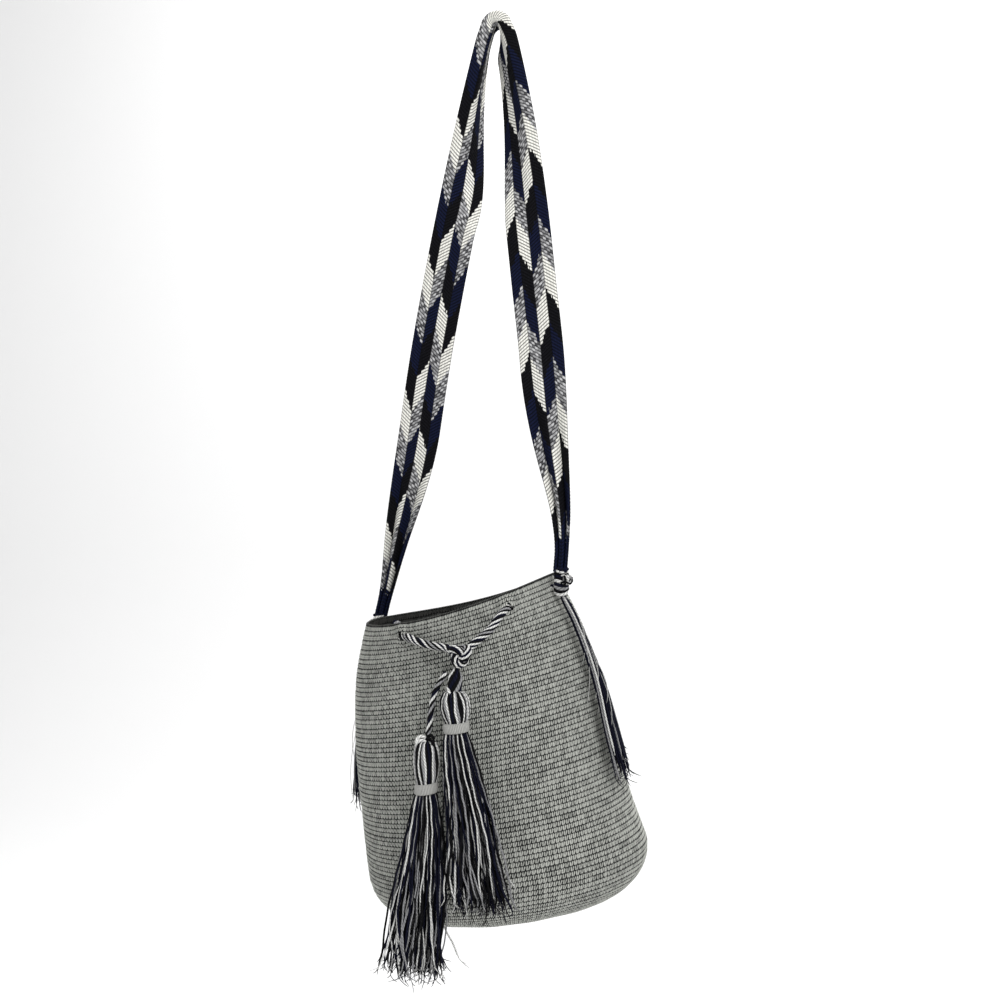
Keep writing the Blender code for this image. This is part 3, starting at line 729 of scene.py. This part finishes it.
def make_inside():
    """The rounded lip and the inside of the bag, with the same stitches more faintly, in a
    darker copy of the crochet material: painted shade.
    """
    columns = STITCHES + 1
    turn = np.linspace(0, math.tau, columns)
    rows = []
    for bend in np.linspace(0, math.pi, 7):
        rows.append((0.0, WALL / 2 * (1 - math.cos(bend)), -WALL / 2 * math.sin(bend)))
    for share in np.linspace(0, 1, 100)[1:]:
        rows.append((share, WALL, 0.0))
    for bend in np.linspace(0, math.pi / 2, 24)[1:]:
        inset = WALL + (EDGE_IN - WALL) * (1 - math.cos(bend))
        rows.append((1.0, inset, (EDGE_DOWN - WALL) * math.sin(bend)))
    points = np.array([bag_ring(s, turn, i, d) for s, i, d in rows])
    gone = distances(points[:, 0])
    down = np.repeat((gone / ROUND_HEIGHT)[:, None], columns, axis=1)
    across = np.repeat((turn / math.tau * STITCHES)[None, :], len(rows), axis=0)
    uv = np.stack([across, down], axis=-1).reshape(-1, 2)
    flat = points.reshape(-1, 3)
    quads = grid_quads(len(rows), columns, False)
    count = len(flat)
    centre = points[-1, :-1].mean(axis=0)
    flat = np.concatenate([flat, [centre]])
    uv = np.concatenate([uv, [[0.0, 0.0]]])
    last = (len(rows) - 1) * columns
    fan = [(last + k, last + k + 1, count) for k in range(columns - 1)]
    flat, quads = open_holes(flat, quads)
    mesh_from("bag_inside", flat, quads, uv, CROCHET_IN_SHADE, "bag", fan)


def make_base():
    """The flat crocheted base: rounds that gain stitches towards the edge."""
    columns = 145
    turn = np.linspace(0, math.tau, columns)
    steps = 5
    outline = bag_ring(1.0, turn, EDGE_IN, EDGE_DOWN)
    centre = outline[:-1].mean(axis=0)
    tilt = math.radians(BAG_RINGS[-1][5])
    under = np.array((math.sin(tilt), 0.0, -math.cos(tilt)))
    points, uv, quads = [], [], []
    for number in range(BASE_ROUNDS):
        stitches = BASE_STITCHES * (BASE_ROUNDS - number) if number < BASE_ROUNDS - 1 else 6
        start = len(points) * columns
        for k in range(steps + 1):
            share = max(1 - (number + k / steps) / BASE_ROUNDS, 0.004)
            ring = centre + (outline - centre) * share
            bulge = math.sin(math.pi * k / steps) * 0.0006
            points.append(ring + under * bulge)
            uv.append(np.stack([turn / math.tau * stitches,
                                np.full(columns, number + min(k / steps, 0.999))], axis=-1))
        quads.append(grid_quads(steps + 1, columns, False, start)[:, ::-1])
    mesh_from("bag_base", np.concatenate(points), np.concatenate(quads),
              np.concatenate(uv), CROCHET, "bag")


# ---------------------------------------------------------------- the strap
def fold_angle(distance):
    """How far the strap is folded back at a distance from the peg, left below 0."""
    folds = []
    for angle, reach, power in (CREASE_LEFT, CREASE_RIGHT):
        folds.append(math.radians(angle) * max(0.0, 1 - (abs(distance) / reach) ** power))
    begin, end = CREASE_BLEND
    share = min(max((distance - begin) / (end - begin), 0.0), 1.0)
    return folds[0] + (folds[1] - folds[0]) * share


def strap_ends():
    """How far the strap's two ends lie from the peg along it, the left one below 0."""
    path = smooth_path(strap_edge(), STRAP_STEP)
    top = int(np.argmax(path[:, 2]))
    return -path_length(path[:top + 1]), path_length(path[top:])


def strap_rows():
    """The strap's middle surface: rows of points, and each row's distance from the peg."""
    path = smooth_path(strap_edge(), STRAP_STEP)
    ahead = unit(np.gradient(path, axis=0))
    top = int(np.argmax(path[:, 2]))
    step = path_length(path) / (len(path) - 1)
    marks = np.linspace(0, 1, LANES * 7 + 1)
    points = []
    for i, (place, along) in enumerate(zip(path, ahead)):
        front = np.array((0.0, -1.0, 0.0))
        front = unit(front - along * front.dot(along))
        inward = np.cross(along, front)
        from_foot = min(i, len(path) - 1 - i) * step
        gather = min(max((from_foot - FOOT_PLAIN) / FOOT_GATHER, 0.0), 1.0)
        gather = math.sin(gather * math.pi / 2) ** GATHER_POWER
        width = FOOT_WIDTH + (STRAP_WIDTH - FOOT_WIDTH) * gather
        lane = STRAP_WIDTH / LANES
        pleat = math.sqrt(max(lane ** 2 - (width / LANES) ** 2, 0.0)) * 0.82
        fold = fold_angle((i - top) * step)
        point = place.copy()
        line = []
        last = 0.0
        for mark in marks:
            distance = mark * width
            begun = (distance - CREASE_AT) / CREASE_WIDTH
            turn = fold * min(max(begun, 0.0), 1.0)
            way = inward * math.cos(turn) - front * math.sin(turn)
            point = point + way * (distance - last)
            last = distance
            out = front * math.cos(turn) + inward * math.sin(turn)
            wave = pleat * 0.5 * math.cos(LANES * math.pi * mark)
            line.append(point + out * wave)
        points.append(line)
    distance = (np.arange(len(path)) - top) * step
    return np.array(points), distance


def refine(rows, times):
    """Rows in between, on smooth curves along the strap."""
    padded = np.concatenate([rows[:1] * 2 - rows[1:2], rows, rows[-1:] * 2 - rows[-2:-1]])
    result = []
    for i in range(1, len(padded) - 2):
        for f in np.linspace(0, 1, times, endpoint=False):
            result.append(curve_between(*padded[i - 1:i + 3], f))
    result.append(rows[-1])
    return np.array(result)


def rib_height(across, along):
    """The relief of the braid's slanting ribs, 0 between them to 1 on their backs."""
    lanes = across * LANES
    lane = np.minimum(np.floor(lanes), LANES - 1)
    tilt = (lanes - lane - 0.5) * (1 - 2 * (lane % 2)) * BRAID_SLANT
    rib = (along + tilt) / BRAID_PITCH
    return np.sin(math.pi * (rib % 1.0)) ** 0.8


def make_strap():
    points, distance = strap_rows()
    points = refine(points, STRAP_FINER)
    distance = np.interp(np.linspace(0, len(distance) - 1, len(points)),
                         np.arange(len(distance)), distance)
    along = np.gradient(points, axis=0)
    across = np.gradient(points, axis=1)
    out = unit(np.cross(along, across))
    middle = points.shape[0] // 4
    if out[middle, 0, 1] > 0:
        out = -out
    columns = points.shape[1]
    marks = np.linspace(0, 1, columns)
    round_off = np.sqrt(np.clip(1 - np.abs(2 * marks - 1) ** 14, 0, 1))
    seams = 1 - 0.28 * np.clip(1 - np.abs((marks * LANES + 0.5) % 1 - 0.5) / 0.12, 0, 1)
    half = (STRAP_THICK / 2 * (0.15 + 0.85 * round_off) * seams)[None, :, None]
    ribs = rib_height(marks[None, :], distance[:, None])[..., None] * BRAID_RELIEF
    face = points + out * (half + ribs - BRAID_RELIEF / 2)
    back = points - out * (half + ribs - BRAID_RELIEF / 2)
    ring = np.concatenate([face, back[:, ::-1]], axis=1)
    us = np.concatenate([marks, marks[::-1]])
    rows, size = ring.shape[:2]
    uv = np.stack([np.broadcast_to(us, (rows, size)),
                   np.broadcast_to(distance[:, None], (rows, size))], axis=-1)
    quads = grid_quads(rows, size, True)
    caps = [tuple(range(size - 1, -1, -1)), tuple(range((rows - 1) * size, rows * size))]
    strap = mesh_from("strap_band", ring.reshape(-1, 3), quads, uv.reshape(-1, 2), STRAP,
                      "strap", caps)
    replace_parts(strap, "shoulder_strap")
    length = path_length(smooth_path(strap_edge(), STRAP_STEP))


# ---------------------------------------------------------------- twisted cords
def helix(path, offset, turns_each_metre, phase):
    """A line wound round a path at an offset."""
    angles = phase + distances(path) * turns_each_metre * math.tau
    offsets = np.broadcast_to(offset, len(path))
    result = []
    for place, angle, reach, (side, other) in zip(path, angles, offsets, turned_frames(path)):
        result.append(place + reach * (math.cos(angle) * side + math.sin(angle) * other))
    return np.array(result)


def rope(bundle, path, diameter, turns, tones):
    """Thick yarns twisted round one another, one for each tone."""
    path = even_path(path, diameter * 0.36)
    yarn = diameter * 1.25 / len(tones)
    for k, tone in enumerate(tones):
        line = helix(path, diameter / 2 - yarn, turns, k * math.tau / len(tones))
        bundle.add(line, yarn, tone, sides=7)
    bundle.add(path, diameter * 0.2, BLACK, sides=6)


def into_knot(path):
    """The path run on at both ends to the middle of the drawstring's knot."""
    middle = np.array(KNOT_CENTRE)
    first = path[0] + (middle - path[0]) * np.array([[0.8], [0.4]])
    last = path[-1] + (middle - path[-1]) * np.array([[0.4], [0.8]])
    return np.concatenate([first, path, last])


def make_drawstring():
    route = [bag_point(below / 1000 / BAG_DEPTH, angle, -out / 1000)
             for angle, below, out in DRAWSTRING_ROUTE]
    path = into_knot(smooth_path([tuple(p) for p in route], 0.0135))
    cord = Bundle()
    rope(cord, path, CORD_DIAMETER, 34.0, ROPE_TONES)
    drawstring = cord.make("drawstring_rope", YARN, "bag")
    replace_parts(drawstring, "drawstring")
    knot = make_knot()
    path = smooth_path(END_ROUTE, 0.009)
    cord = Bundle()
    rope(cord, path, END_DIAMETER, 44.0, (BLACK, WHITE, NAVY, BLACK, GREY))
    end = cord.make("drawstring_end_rope", YARN, "tassel_lower")
    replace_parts(end, "drawstring_end_lower")


def make_knot():
    """The overhand knot that joins both ends of the drawstring."""
    t = np.linspace(0, math.tau, 72)
    x = (np.sin(t) + 2 * np.sin(2 * t)) * KNOT_SIZE
    z = (np.cos(t) - 2 * np.cos(2 * t)) * KNOT_SIZE
    y = -np.sin(3 * t) * KNOT_SIZE * 1.25
    path = np.stack([x, y, z], axis=1) + np.array(KNOT_CENTRE)
    knot = Bundle()
    rope(knot, path, 0.0072, 30.0, ROPE_TONES)
    piece = knot.make("drawstring_knot_rope", YARN, "bag")
    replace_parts(piece, "drawstring_knot")
    return piece


# ---------------------------------------------------------------- tassels
def tassel_row(rows, z):
    """A tassel's centre x, half width and half depth at a height."""
    heights = [-row[1] for row in rows]
    return [np.interp(-z, heights, [row[k] for row in rows]) for k in (0, 2, 3)]


def tassel_head(bundle, rows, strands):
    """Yarns laid over the head side by side, from the middle of its top to the binding."""
    high = rows[1][1]
    steps = np.linspace(high, rows[6][1] + 0.001, 20)
    for k in range(strands):
        angle = k * math.tau / strands
        line, sizes = [], []
        x, half_width, half_depth = tassel_row(rows, high)
        for share in (0.25, 0.55, 0.80):  # over the rounded top
            rise = 0.0022 * math.cos(share * math.pi / 2)
            line.append((x + half_width * share * math.cos(angle),
                         TASSEL_Y + half_depth * share * math.sin(angle), high + rise))
            sizes.append(math.pi * half_width / strands * (0.4 + 0.6 * share))
        for i, z in enumerate(steps):
            x, half_width, half_depth = tassel_row(rows, z)
            lean = angle + 0.012 * i + 0.05 * math.sin(i * 0.4 + k)
            thick = math.pi * half_width / strands
            line.append((x + (half_width - thick * 0.6) * math.cos(lean),
                         TASSEL_Y + (half_depth - thick * 0.6) * math.sin(lean), z))
            sizes.append(thick * 1.12)
        bundle.add(line, np.array(sizes), HEAD_TONES[k % len(HEAD_TONES)], sides=7)
    core, sizes = [], []
    for z in steps:
        x, half_width, _ = tassel_row(rows, z)
        core.append((x, TASSEL_Y, z))
        sizes.append(half_width * 0.86)
    bundle.add(core, np.array(sizes), BLACK, sides=14)


def tassel_skirt(bundle, rows, random):
    """Loose wavy threads below the binding, of uneven length."""
    top = rows[6][1] + 0.002
    bottom = rows[-1][1]
    for k in range(SKIRT_THREADS):
        reach = math.sqrt((k + 0.5) / SKIRT_THREADS) * 1.02
        angle = k * GOLDEN
        end = max(bottom + random.normal(0.002, 0.006), bottom - 0.008)
        steps = np.linspace(0, 1, 34)
        waves = random.uniform(0.5, 1.5, 2)
        phases = random.uniform(0, math.tau, 2)
        size = random.uniform(0.0015, 0.0070)
        curl = random.uniform(5.0, 9.0)
        kick = random.normal(0.0, 0.0045)
        line = []
        for t in steps:
            z = top + (end - top) * t
            x, half_width, half_depth = tassel_row(rows, max(z, bottom))
            grow = t ** 1.2
            crimp = 0.00022 * math.sin(curl * math.tau * t + phases[1])
            dx = size * grow * math.sin(waves[0] * math.tau * t + phases[0]) + crimp
            dx += kick * t ** 6
            dy = 0.6 * size * grow * math.sin(waves[1] * math.tau * t + phases[1]) + crimp
            line.append((x + reach * half_width * math.cos(angle) + dx,
                         TASSEL_Y + reach * half_depth * math.sin(angle) + dy, z))
        slot = int((angle % math.tau) / math.tau * SKIRT_SLOTS)
        tone = SKIRT_TONES[slot % len(SKIRT_TONES)]
        bundle.add(line, random.uniform(0.0006, 0.0010), tone, sides=5)
        fray(bundle, line, tone, random)


def fray(bundle, line, tone, random):
    """Fine fibres that splay from a cut end."""
    tip = np.array(line[-1])
    ahead = unit(tip - np.array(line[-3]))
    for _ in range(2):
        splay = random.normal(0, 0.55, 3) * (1.0, 0.5, 0.3)
        steps = np.linspace(0, 1, 5)[:, None]
        length = random.uniform(0.003, 0.008)
        path = tip + ahead * steps * length + splay * steps ** 2 * length
        bundle.add(path - ahead * 0.0006, 0.00032, tone, sides=4)


def make_binding(name, rows, ride):
    """The grey yarn wound flat round a tassel's waist."""
    high, low = rows[5][1], rows[6][1]
    middle = (high + low) / 2
    half = abs(high - low) / 2
    columns = 41
    turn = np.linspace(0, math.tau, columns)
    bends = np.linspace(-math.pi / 2, math.pi / 2, 9)
    points, uv = [], []
    for k, bend in enumerate(bends):
        z = middle + half * math.sin(bend)
        x, half_width, half_depth = tassel_row(rows, z)
        out = 0.0002 + 0.0017 * math.cos(bend) ** 0.5
        tilt = 0.0011 * np.cos(turn)
        points.append(np.stack([x + (half_width + out) * np.cos(turn),
                                TASSEL_Y + (half_depth + out) * np.sin(turn),
                                z + tilt], axis=1))
        uv.append(np.stack([turn * 0.8, np.full(columns, k / (len(bends) - 1))], axis=1))
    return mesh_from(name, np.concatenate(points), grid_quads(len(bends), columns, False),
                     np.concatenate(uv), BINDING, ride)


def make_tassels():
    random = np.random.default_rng(7)
    upper = Bundle()
    top = np.array((TASSEL_UPPER[1][0], TASSEL_Y, TASSEL_UPPER[1][1]))
    for k, tone in enumerate((WHITE, BLACK, WHITE)):  # strands that cross over its head
        axis = (0.9, 0.25 - 0.3 * k, 0.45)
        upper.add(ring_line(top + (0.002 * k - 0.002, 0, -0.0035), axis, 0.0082 - 0.0006 * k),
                  0.0013, tone, sides=7)
    tassel_head(upper, TASSEL_UPPER, 42)
    tassel_skirt(upper, TASSEL_UPPER, random)
    piece = upper.make("tassel_upper_yarn", YARN, "tassel_upper")
    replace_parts(piece, "tassel_upper_threads")
    lower = Bundle()
    top = np.array((TASSEL_LOWER[1][0], TASSEL_Y, TASSEL_LOWER[1][1]))
    for k, tone in enumerate((WHITE, BLACK, WHITE, BLACK)):  # the knot's loops on its head
        side = 1 if k % 2 else -1
        axis = (0.35 * side, 0.8, 0.5 - 0.25 * k)
        lower.add(ring_line(top + (0.0036 * side, -0.003, 0.0012 * k - 0.001), axis, 0.0042),
                  0.0014, tone, sides=7)
    tassel_head(lower, TASSEL_LOWER, 38)
    tassel_skirt(lower, TASSEL_LOWER, random)
    piece = lower.make("tassel_lower_yarn", YARN, "tassel_lower")
    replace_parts(piece, "tassel_lower_threads")
    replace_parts(make_binding("tassel_upper_band", TASSEL_UPPER, "tassel_upper"),
                "tassel_upper_binding")
    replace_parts(make_binding("tassel_lower_band", TASSEL_LOWER, "tassel_lower"),
                "tassel_lower_binding")
    loop = Bundle()
    line = np.array([LOOP_TOP, LOOP_BOTTOM]) + np.array([[0, 0, 0.002], [0, 0, -0.004]])
    line = even_path(line, 0.0015)
    tones = (NAVY, BLACK, WHITE, NAVY, BLACK, NAVY, NAVY, GREY, BLACK)
    widen = np.clip(np.linspace(0.2, 2.2, len(line)), 0, 1)  # narrow where it swings
    for k, tone in enumerate(tones):
        strand = helix(line, 0.0042 * widen, 16.0, k * math.tau / len(tones))
        loop.add(strand, 0.0006 + 0.0013 * widen, tone, sides=7)
    loop.add(line, 0.0038 * widen, BLACK, sides=8)
    piece = loop.make("tassel_upper_neck", YARN, "tassel_upper")
    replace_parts(piece, "tassel_upper_loop")


# ---------------------------------------------------------------- ties and fringes
def ring_line(middle, axis, radius):
    """Points round a circle."""
    axis = unit(np.asarray(axis, float))
    first = unit(np.cross(axis, (0.2, 0.9, 0.4)))
    second = np.cross(axis, first)
    turn = np.linspace(0, math.tau, 28)
    return middle + radius * (np.outer(np.cos(turn), first) + np.outer(np.sin(turn), second))


def make_tie(name, node, wall_place, outward, seed):
    """The yarn tied round the strap's foot, with a small knot inside the bag."""
    random = np.random.default_rng(seed)
    bundle = Bundle()
    outward = np.array(outward)
    middle = np.array(wall_place) + outward * TIE_STANDOFF
    up = np.array((0.0, 0.0, 1.0))
    side = unit(np.cross(up, outward))
    tones = (WHITE, BLACK, GREY, NAVY, WHITE, BLACK, NAVY)
    for k, tone in enumerate(tones):  # wraps that bind the knot
        axis = up + side * (k - 3) * 0.30 + outward * 0.25
        bundle.add(ring_line(middle + up * (k - 3) * 0.0017, axis, 0.0054), 0.0017, tone,
                   sides=7)
    for k, tone in enumerate((NAVY, BLACK, WHITE, NAVY)):  # wraps round the strap's foot
        axis = up + outward * (0.35 if k == 2 else 0.1)
        bundle.add(ring_line(middle + up * (0.0075 + k * 0.0022), axis, 0.0056), 0.0014, tone,
                   sides=7)
    for k in range(11):  # small loops that stand out of the knot
        way = unit(outward * random.uniform(0.3, 1.0) + side * random.uniform(-0.9, 0.9)
                   + up * random.uniform(-0.2, 1.1))
        size = random.uniform(0.0028, 0.0046)
        axis = np.cross(way, random.normal(0, 1, 3))
        loop = ring_line(middle + way * (0.0045 + size), axis, size)
        bundle.add(loop, 0.0010, (WHITE, BLACK, GREY, BLACK)[k % 4], sides=6)
    core = even_path(np.array([middle - up * 0.006, middle + up * 0.015]), 0.002)
    bundle.add(core, 0.0046, NAVY, sides=12)
    shank = even_path(np.array([middle, middle - outward * (TIE_STANDOFF + 0.006)]), 0.002)
    for k, tone in enumerate((NAVY, BLACK, WHITE)):
        bundle.add(helix(shank, 0.0011, 60.0, k * math.tau / 3), 0.0012, tone)
    inner = np.array(wall_place) - outward * (WALL + 0.0072)
    for k, tone in enumerate((NAVY, GREY, BLACK)):
        axis = outward * math.cos(k * 0.9) + up * math.sin(k * 0.9)
        bundle.add(ring_line(inner, axis, 0.0032), 0.0019, tone)
    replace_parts(bundle.make(name, YARN, "strap"), node)


def fringe_line(wall_place, outward, lean):
    """The fringe's middle line, down along the wall from under the tie."""
    start = np.array(wall_place) + outward * TIE_STANDOFF
    start = start - np.array((0, 0, TIE_RADIUS + FRINGE_GAP))
    first = TIE_BELOW_RIM + TIE_RADIUS + FRINGE_GAP
    line = [start]
    for share in np.linspace(0, 1, 10)[1:]:
        depth = (first + FRINGE_LENGTH * share) / BAG_DEPTH
        row = blend_rows(BAG_RINGS, depth)
        back = start[1] + lean * share
        angle = math.copysign(math.acos((row[1] - back) / row[4]), outward[0])
        point = np.array(bag_point(depth, math.degrees(angle)))
        line.append(point + outward * (TIE_STANDOFF + FRINGE_RISE * share))
    return np.array(line)


def make_fringe(name, node, wall_place, outward, lean, seed):
    """The strap's loose yarn ends under the tie."""
    random = np.random.default_rng(seed)
    outward = np.array(outward)
    line = even_path(fringe_line(wall_place, outward, lean), 0.0065)
    side = unit(np.cross((0.0, 0.0, 1.0), outward))
    level = unit(np.array((outward[0], outward[1], 0.0)))
    bundle = Bundle()
    for k in range(FRINGE_THREADS):
        reach = math.sqrt((k + 0.5) / FRINGE_THREADS)
        angle = k * GOLDEN
        last = max(int(len(line) * random.uniform(0.80, 1.0)), 12)
        part = line[:last]
        t = np.linspace(0, 1, last)[:, None]
        grow = np.sin(t * math.pi / 2)
        start = FRINGE_START * np.clip(0.25 + t * 12, 0, 1)  # narrow where it swings
        wide = start + (FRINGE_WIDE * 1.05 - FRINGE_START) * grow * t
        deep = start + (FRINGE_DEEP * 0.8 - FRINGE_START) * grow * t
        wave = random.uniform(0.0005, 0.0022) * t * np.sin(
            t * random.uniform(5, 12) + random.uniform(0, 6))
        path = (part + side * (wide * reach * math.cos(angle) + wave)
                + level * deep * reach * math.sin(angle))
        tone = TONE_ORDER[random.choice(len(TONE_ORDER), p=FRINGE_SHARES)]
        bundle.add(path, random.uniform(0.0006, 0.0010), tone, sides=5)
        fray(bundle, path, tone, random)
    for k in range(6):  # fine fibres that stand off it
        start = line[2 + 2 * k]
        bow = random.uniform(0.006, 0.012)
        t = np.linspace(0, 1, 14)[:, None]
        length = random.uniform(0.05, 0.09)
        path = (start + np.array((0, 0, -1.0)) * t * length + outward * (
            0.004 + bow * np.sin(t * math.pi * 0.8)) + side * t * 0.006)
        bundle.add(path, 0.00032, WHITE, sides=4)
    piece = bundle.make(name, YARN, node.replace("strap_", ""))
    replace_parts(piece, node)


def make_strap_ends():
    left, right, across = tie_places()
    make_tie("strap_tie_left_yarn", "strap_tie_left", left, -across, 31)
    make_tie("strap_tie_right_yarn", "strap_tie_right", right, across, 32)
    make_fringe("strap_fringe_left_yarn", "strap_fringe_left", left, -across,
                FRINGE_LEAN_LEFT, 21)
    make_fringe("strap_fringe_right_yarn", "strap_fringe_right", right, across,
                FRINGE_LEAN_RIGHT, 22)


# ---------------------------------------------------------------- stage, light, camera
def make_stage():
    material = bpy.data.materials.new("stage_paper")
    material.use_nodes = True
    shader = material.node_tree.nodes["Principled BSDF"]
    shader.inputs["Base Color"].default_value = (0.93, 0.93, 0.93, 1.0)
    shader.inputs["Roughness"].default_value = 0.9
    profile = [(-3.0, -1.55), (2.2, -1.55)]
    for k in range(1, 9):
        bend = math.pi / 2 * k / 8
        profile.append((2.2 + 0.9 * math.sin(bend), -0.65 - 0.9 * math.cos(bend)))
    profile.append((3.1, 3.2))
    points = [(x, y, z) for y, z in profile for x in (-5.0, 5.0)]
    quads = grid_quads(len(profile), 2, False)
    mesh = bpy.data.meshes.new("stage_floor")
    mesh.from_pydata(points, [], [tuple(q) for q in quads])
    mesh.shade_smooth()
    mesh.materials.append(material)
    floor = bpy.data.objects.new("stage_floor", mesh)
    bpy.context.collection.objects.link(floor)


def add_light(name, place, target, size, power):
    light = bpy.data.lights.new(name, "AREA")
    light.shape = "SQUARE"
    light.size = size
    light.energy = power
    lamp = bpy.data.objects.new(name, light)
    lamp.location = place
    direction = Vector(target) - Vector(place)
    lamp.rotation_euler = direction.to_track_quat("-Z", "Y").to_euler()
    bpy.context.collection.objects.link(lamp)


def make_lights():
    middle = (-0.03, 0.0, -0.5)
    add_light("light_key", (1.3, -1.5, 1.0), middle, 1.0, 34)
    add_light("light_fill", (-1.6, -1.2, 0.3), middle, 1.6, 6)
    add_light("light_backdrop", (0.0, 1.0, 2.2), (0.0, 3.0, -0.6), 2.5, 70)
    world = bpy.data.worlds.new("studio")
    bpy.context.scene.world = world
    world.use_nodes = True
    background = world.node_tree.nodes["Background"]
    background.inputs["Color"].default_value = (1.0, 1.0, 1.0, 1.0)
    background.inputs["Strength"].default_value = 0.62
    bpy.context.scene.view_settings.view_transform = "Standard"


def make_camera():
    data = bpy.data.cameras.new("camera")
    data.sensor_width = 36.0
    data.lens = 38.71
    camera = bpy.data.objects.new("camera", data)
    camera.location = (0.22767, -0.97374, -0.43524)
    camera.rotation_euler = (math.radians(90), 0, math.radians(13))
    bpy.context.collection.objects.link(camera)
    bpy.context.scene.camera = camera


CROCHET = crochet_material("crochet_grey", CROCHET_LIGHT, CROCHET_GAP_SHADE)
# a darker copy of the crochet for the lip and inside: painted shade
CROCHET_IN_SHADE = crochet_material("crochet_in_shade", IN_SHADE_LIGHT, IN_SHADE_DARK)
STRAP = strap_material()
YARN = yarn_material()
BINDING = binding_material()

make_camera()
make_stage()
make_lights()
make_drawstring()
make_bag()
make_strap()
make_tassels()
make_strap_ends()
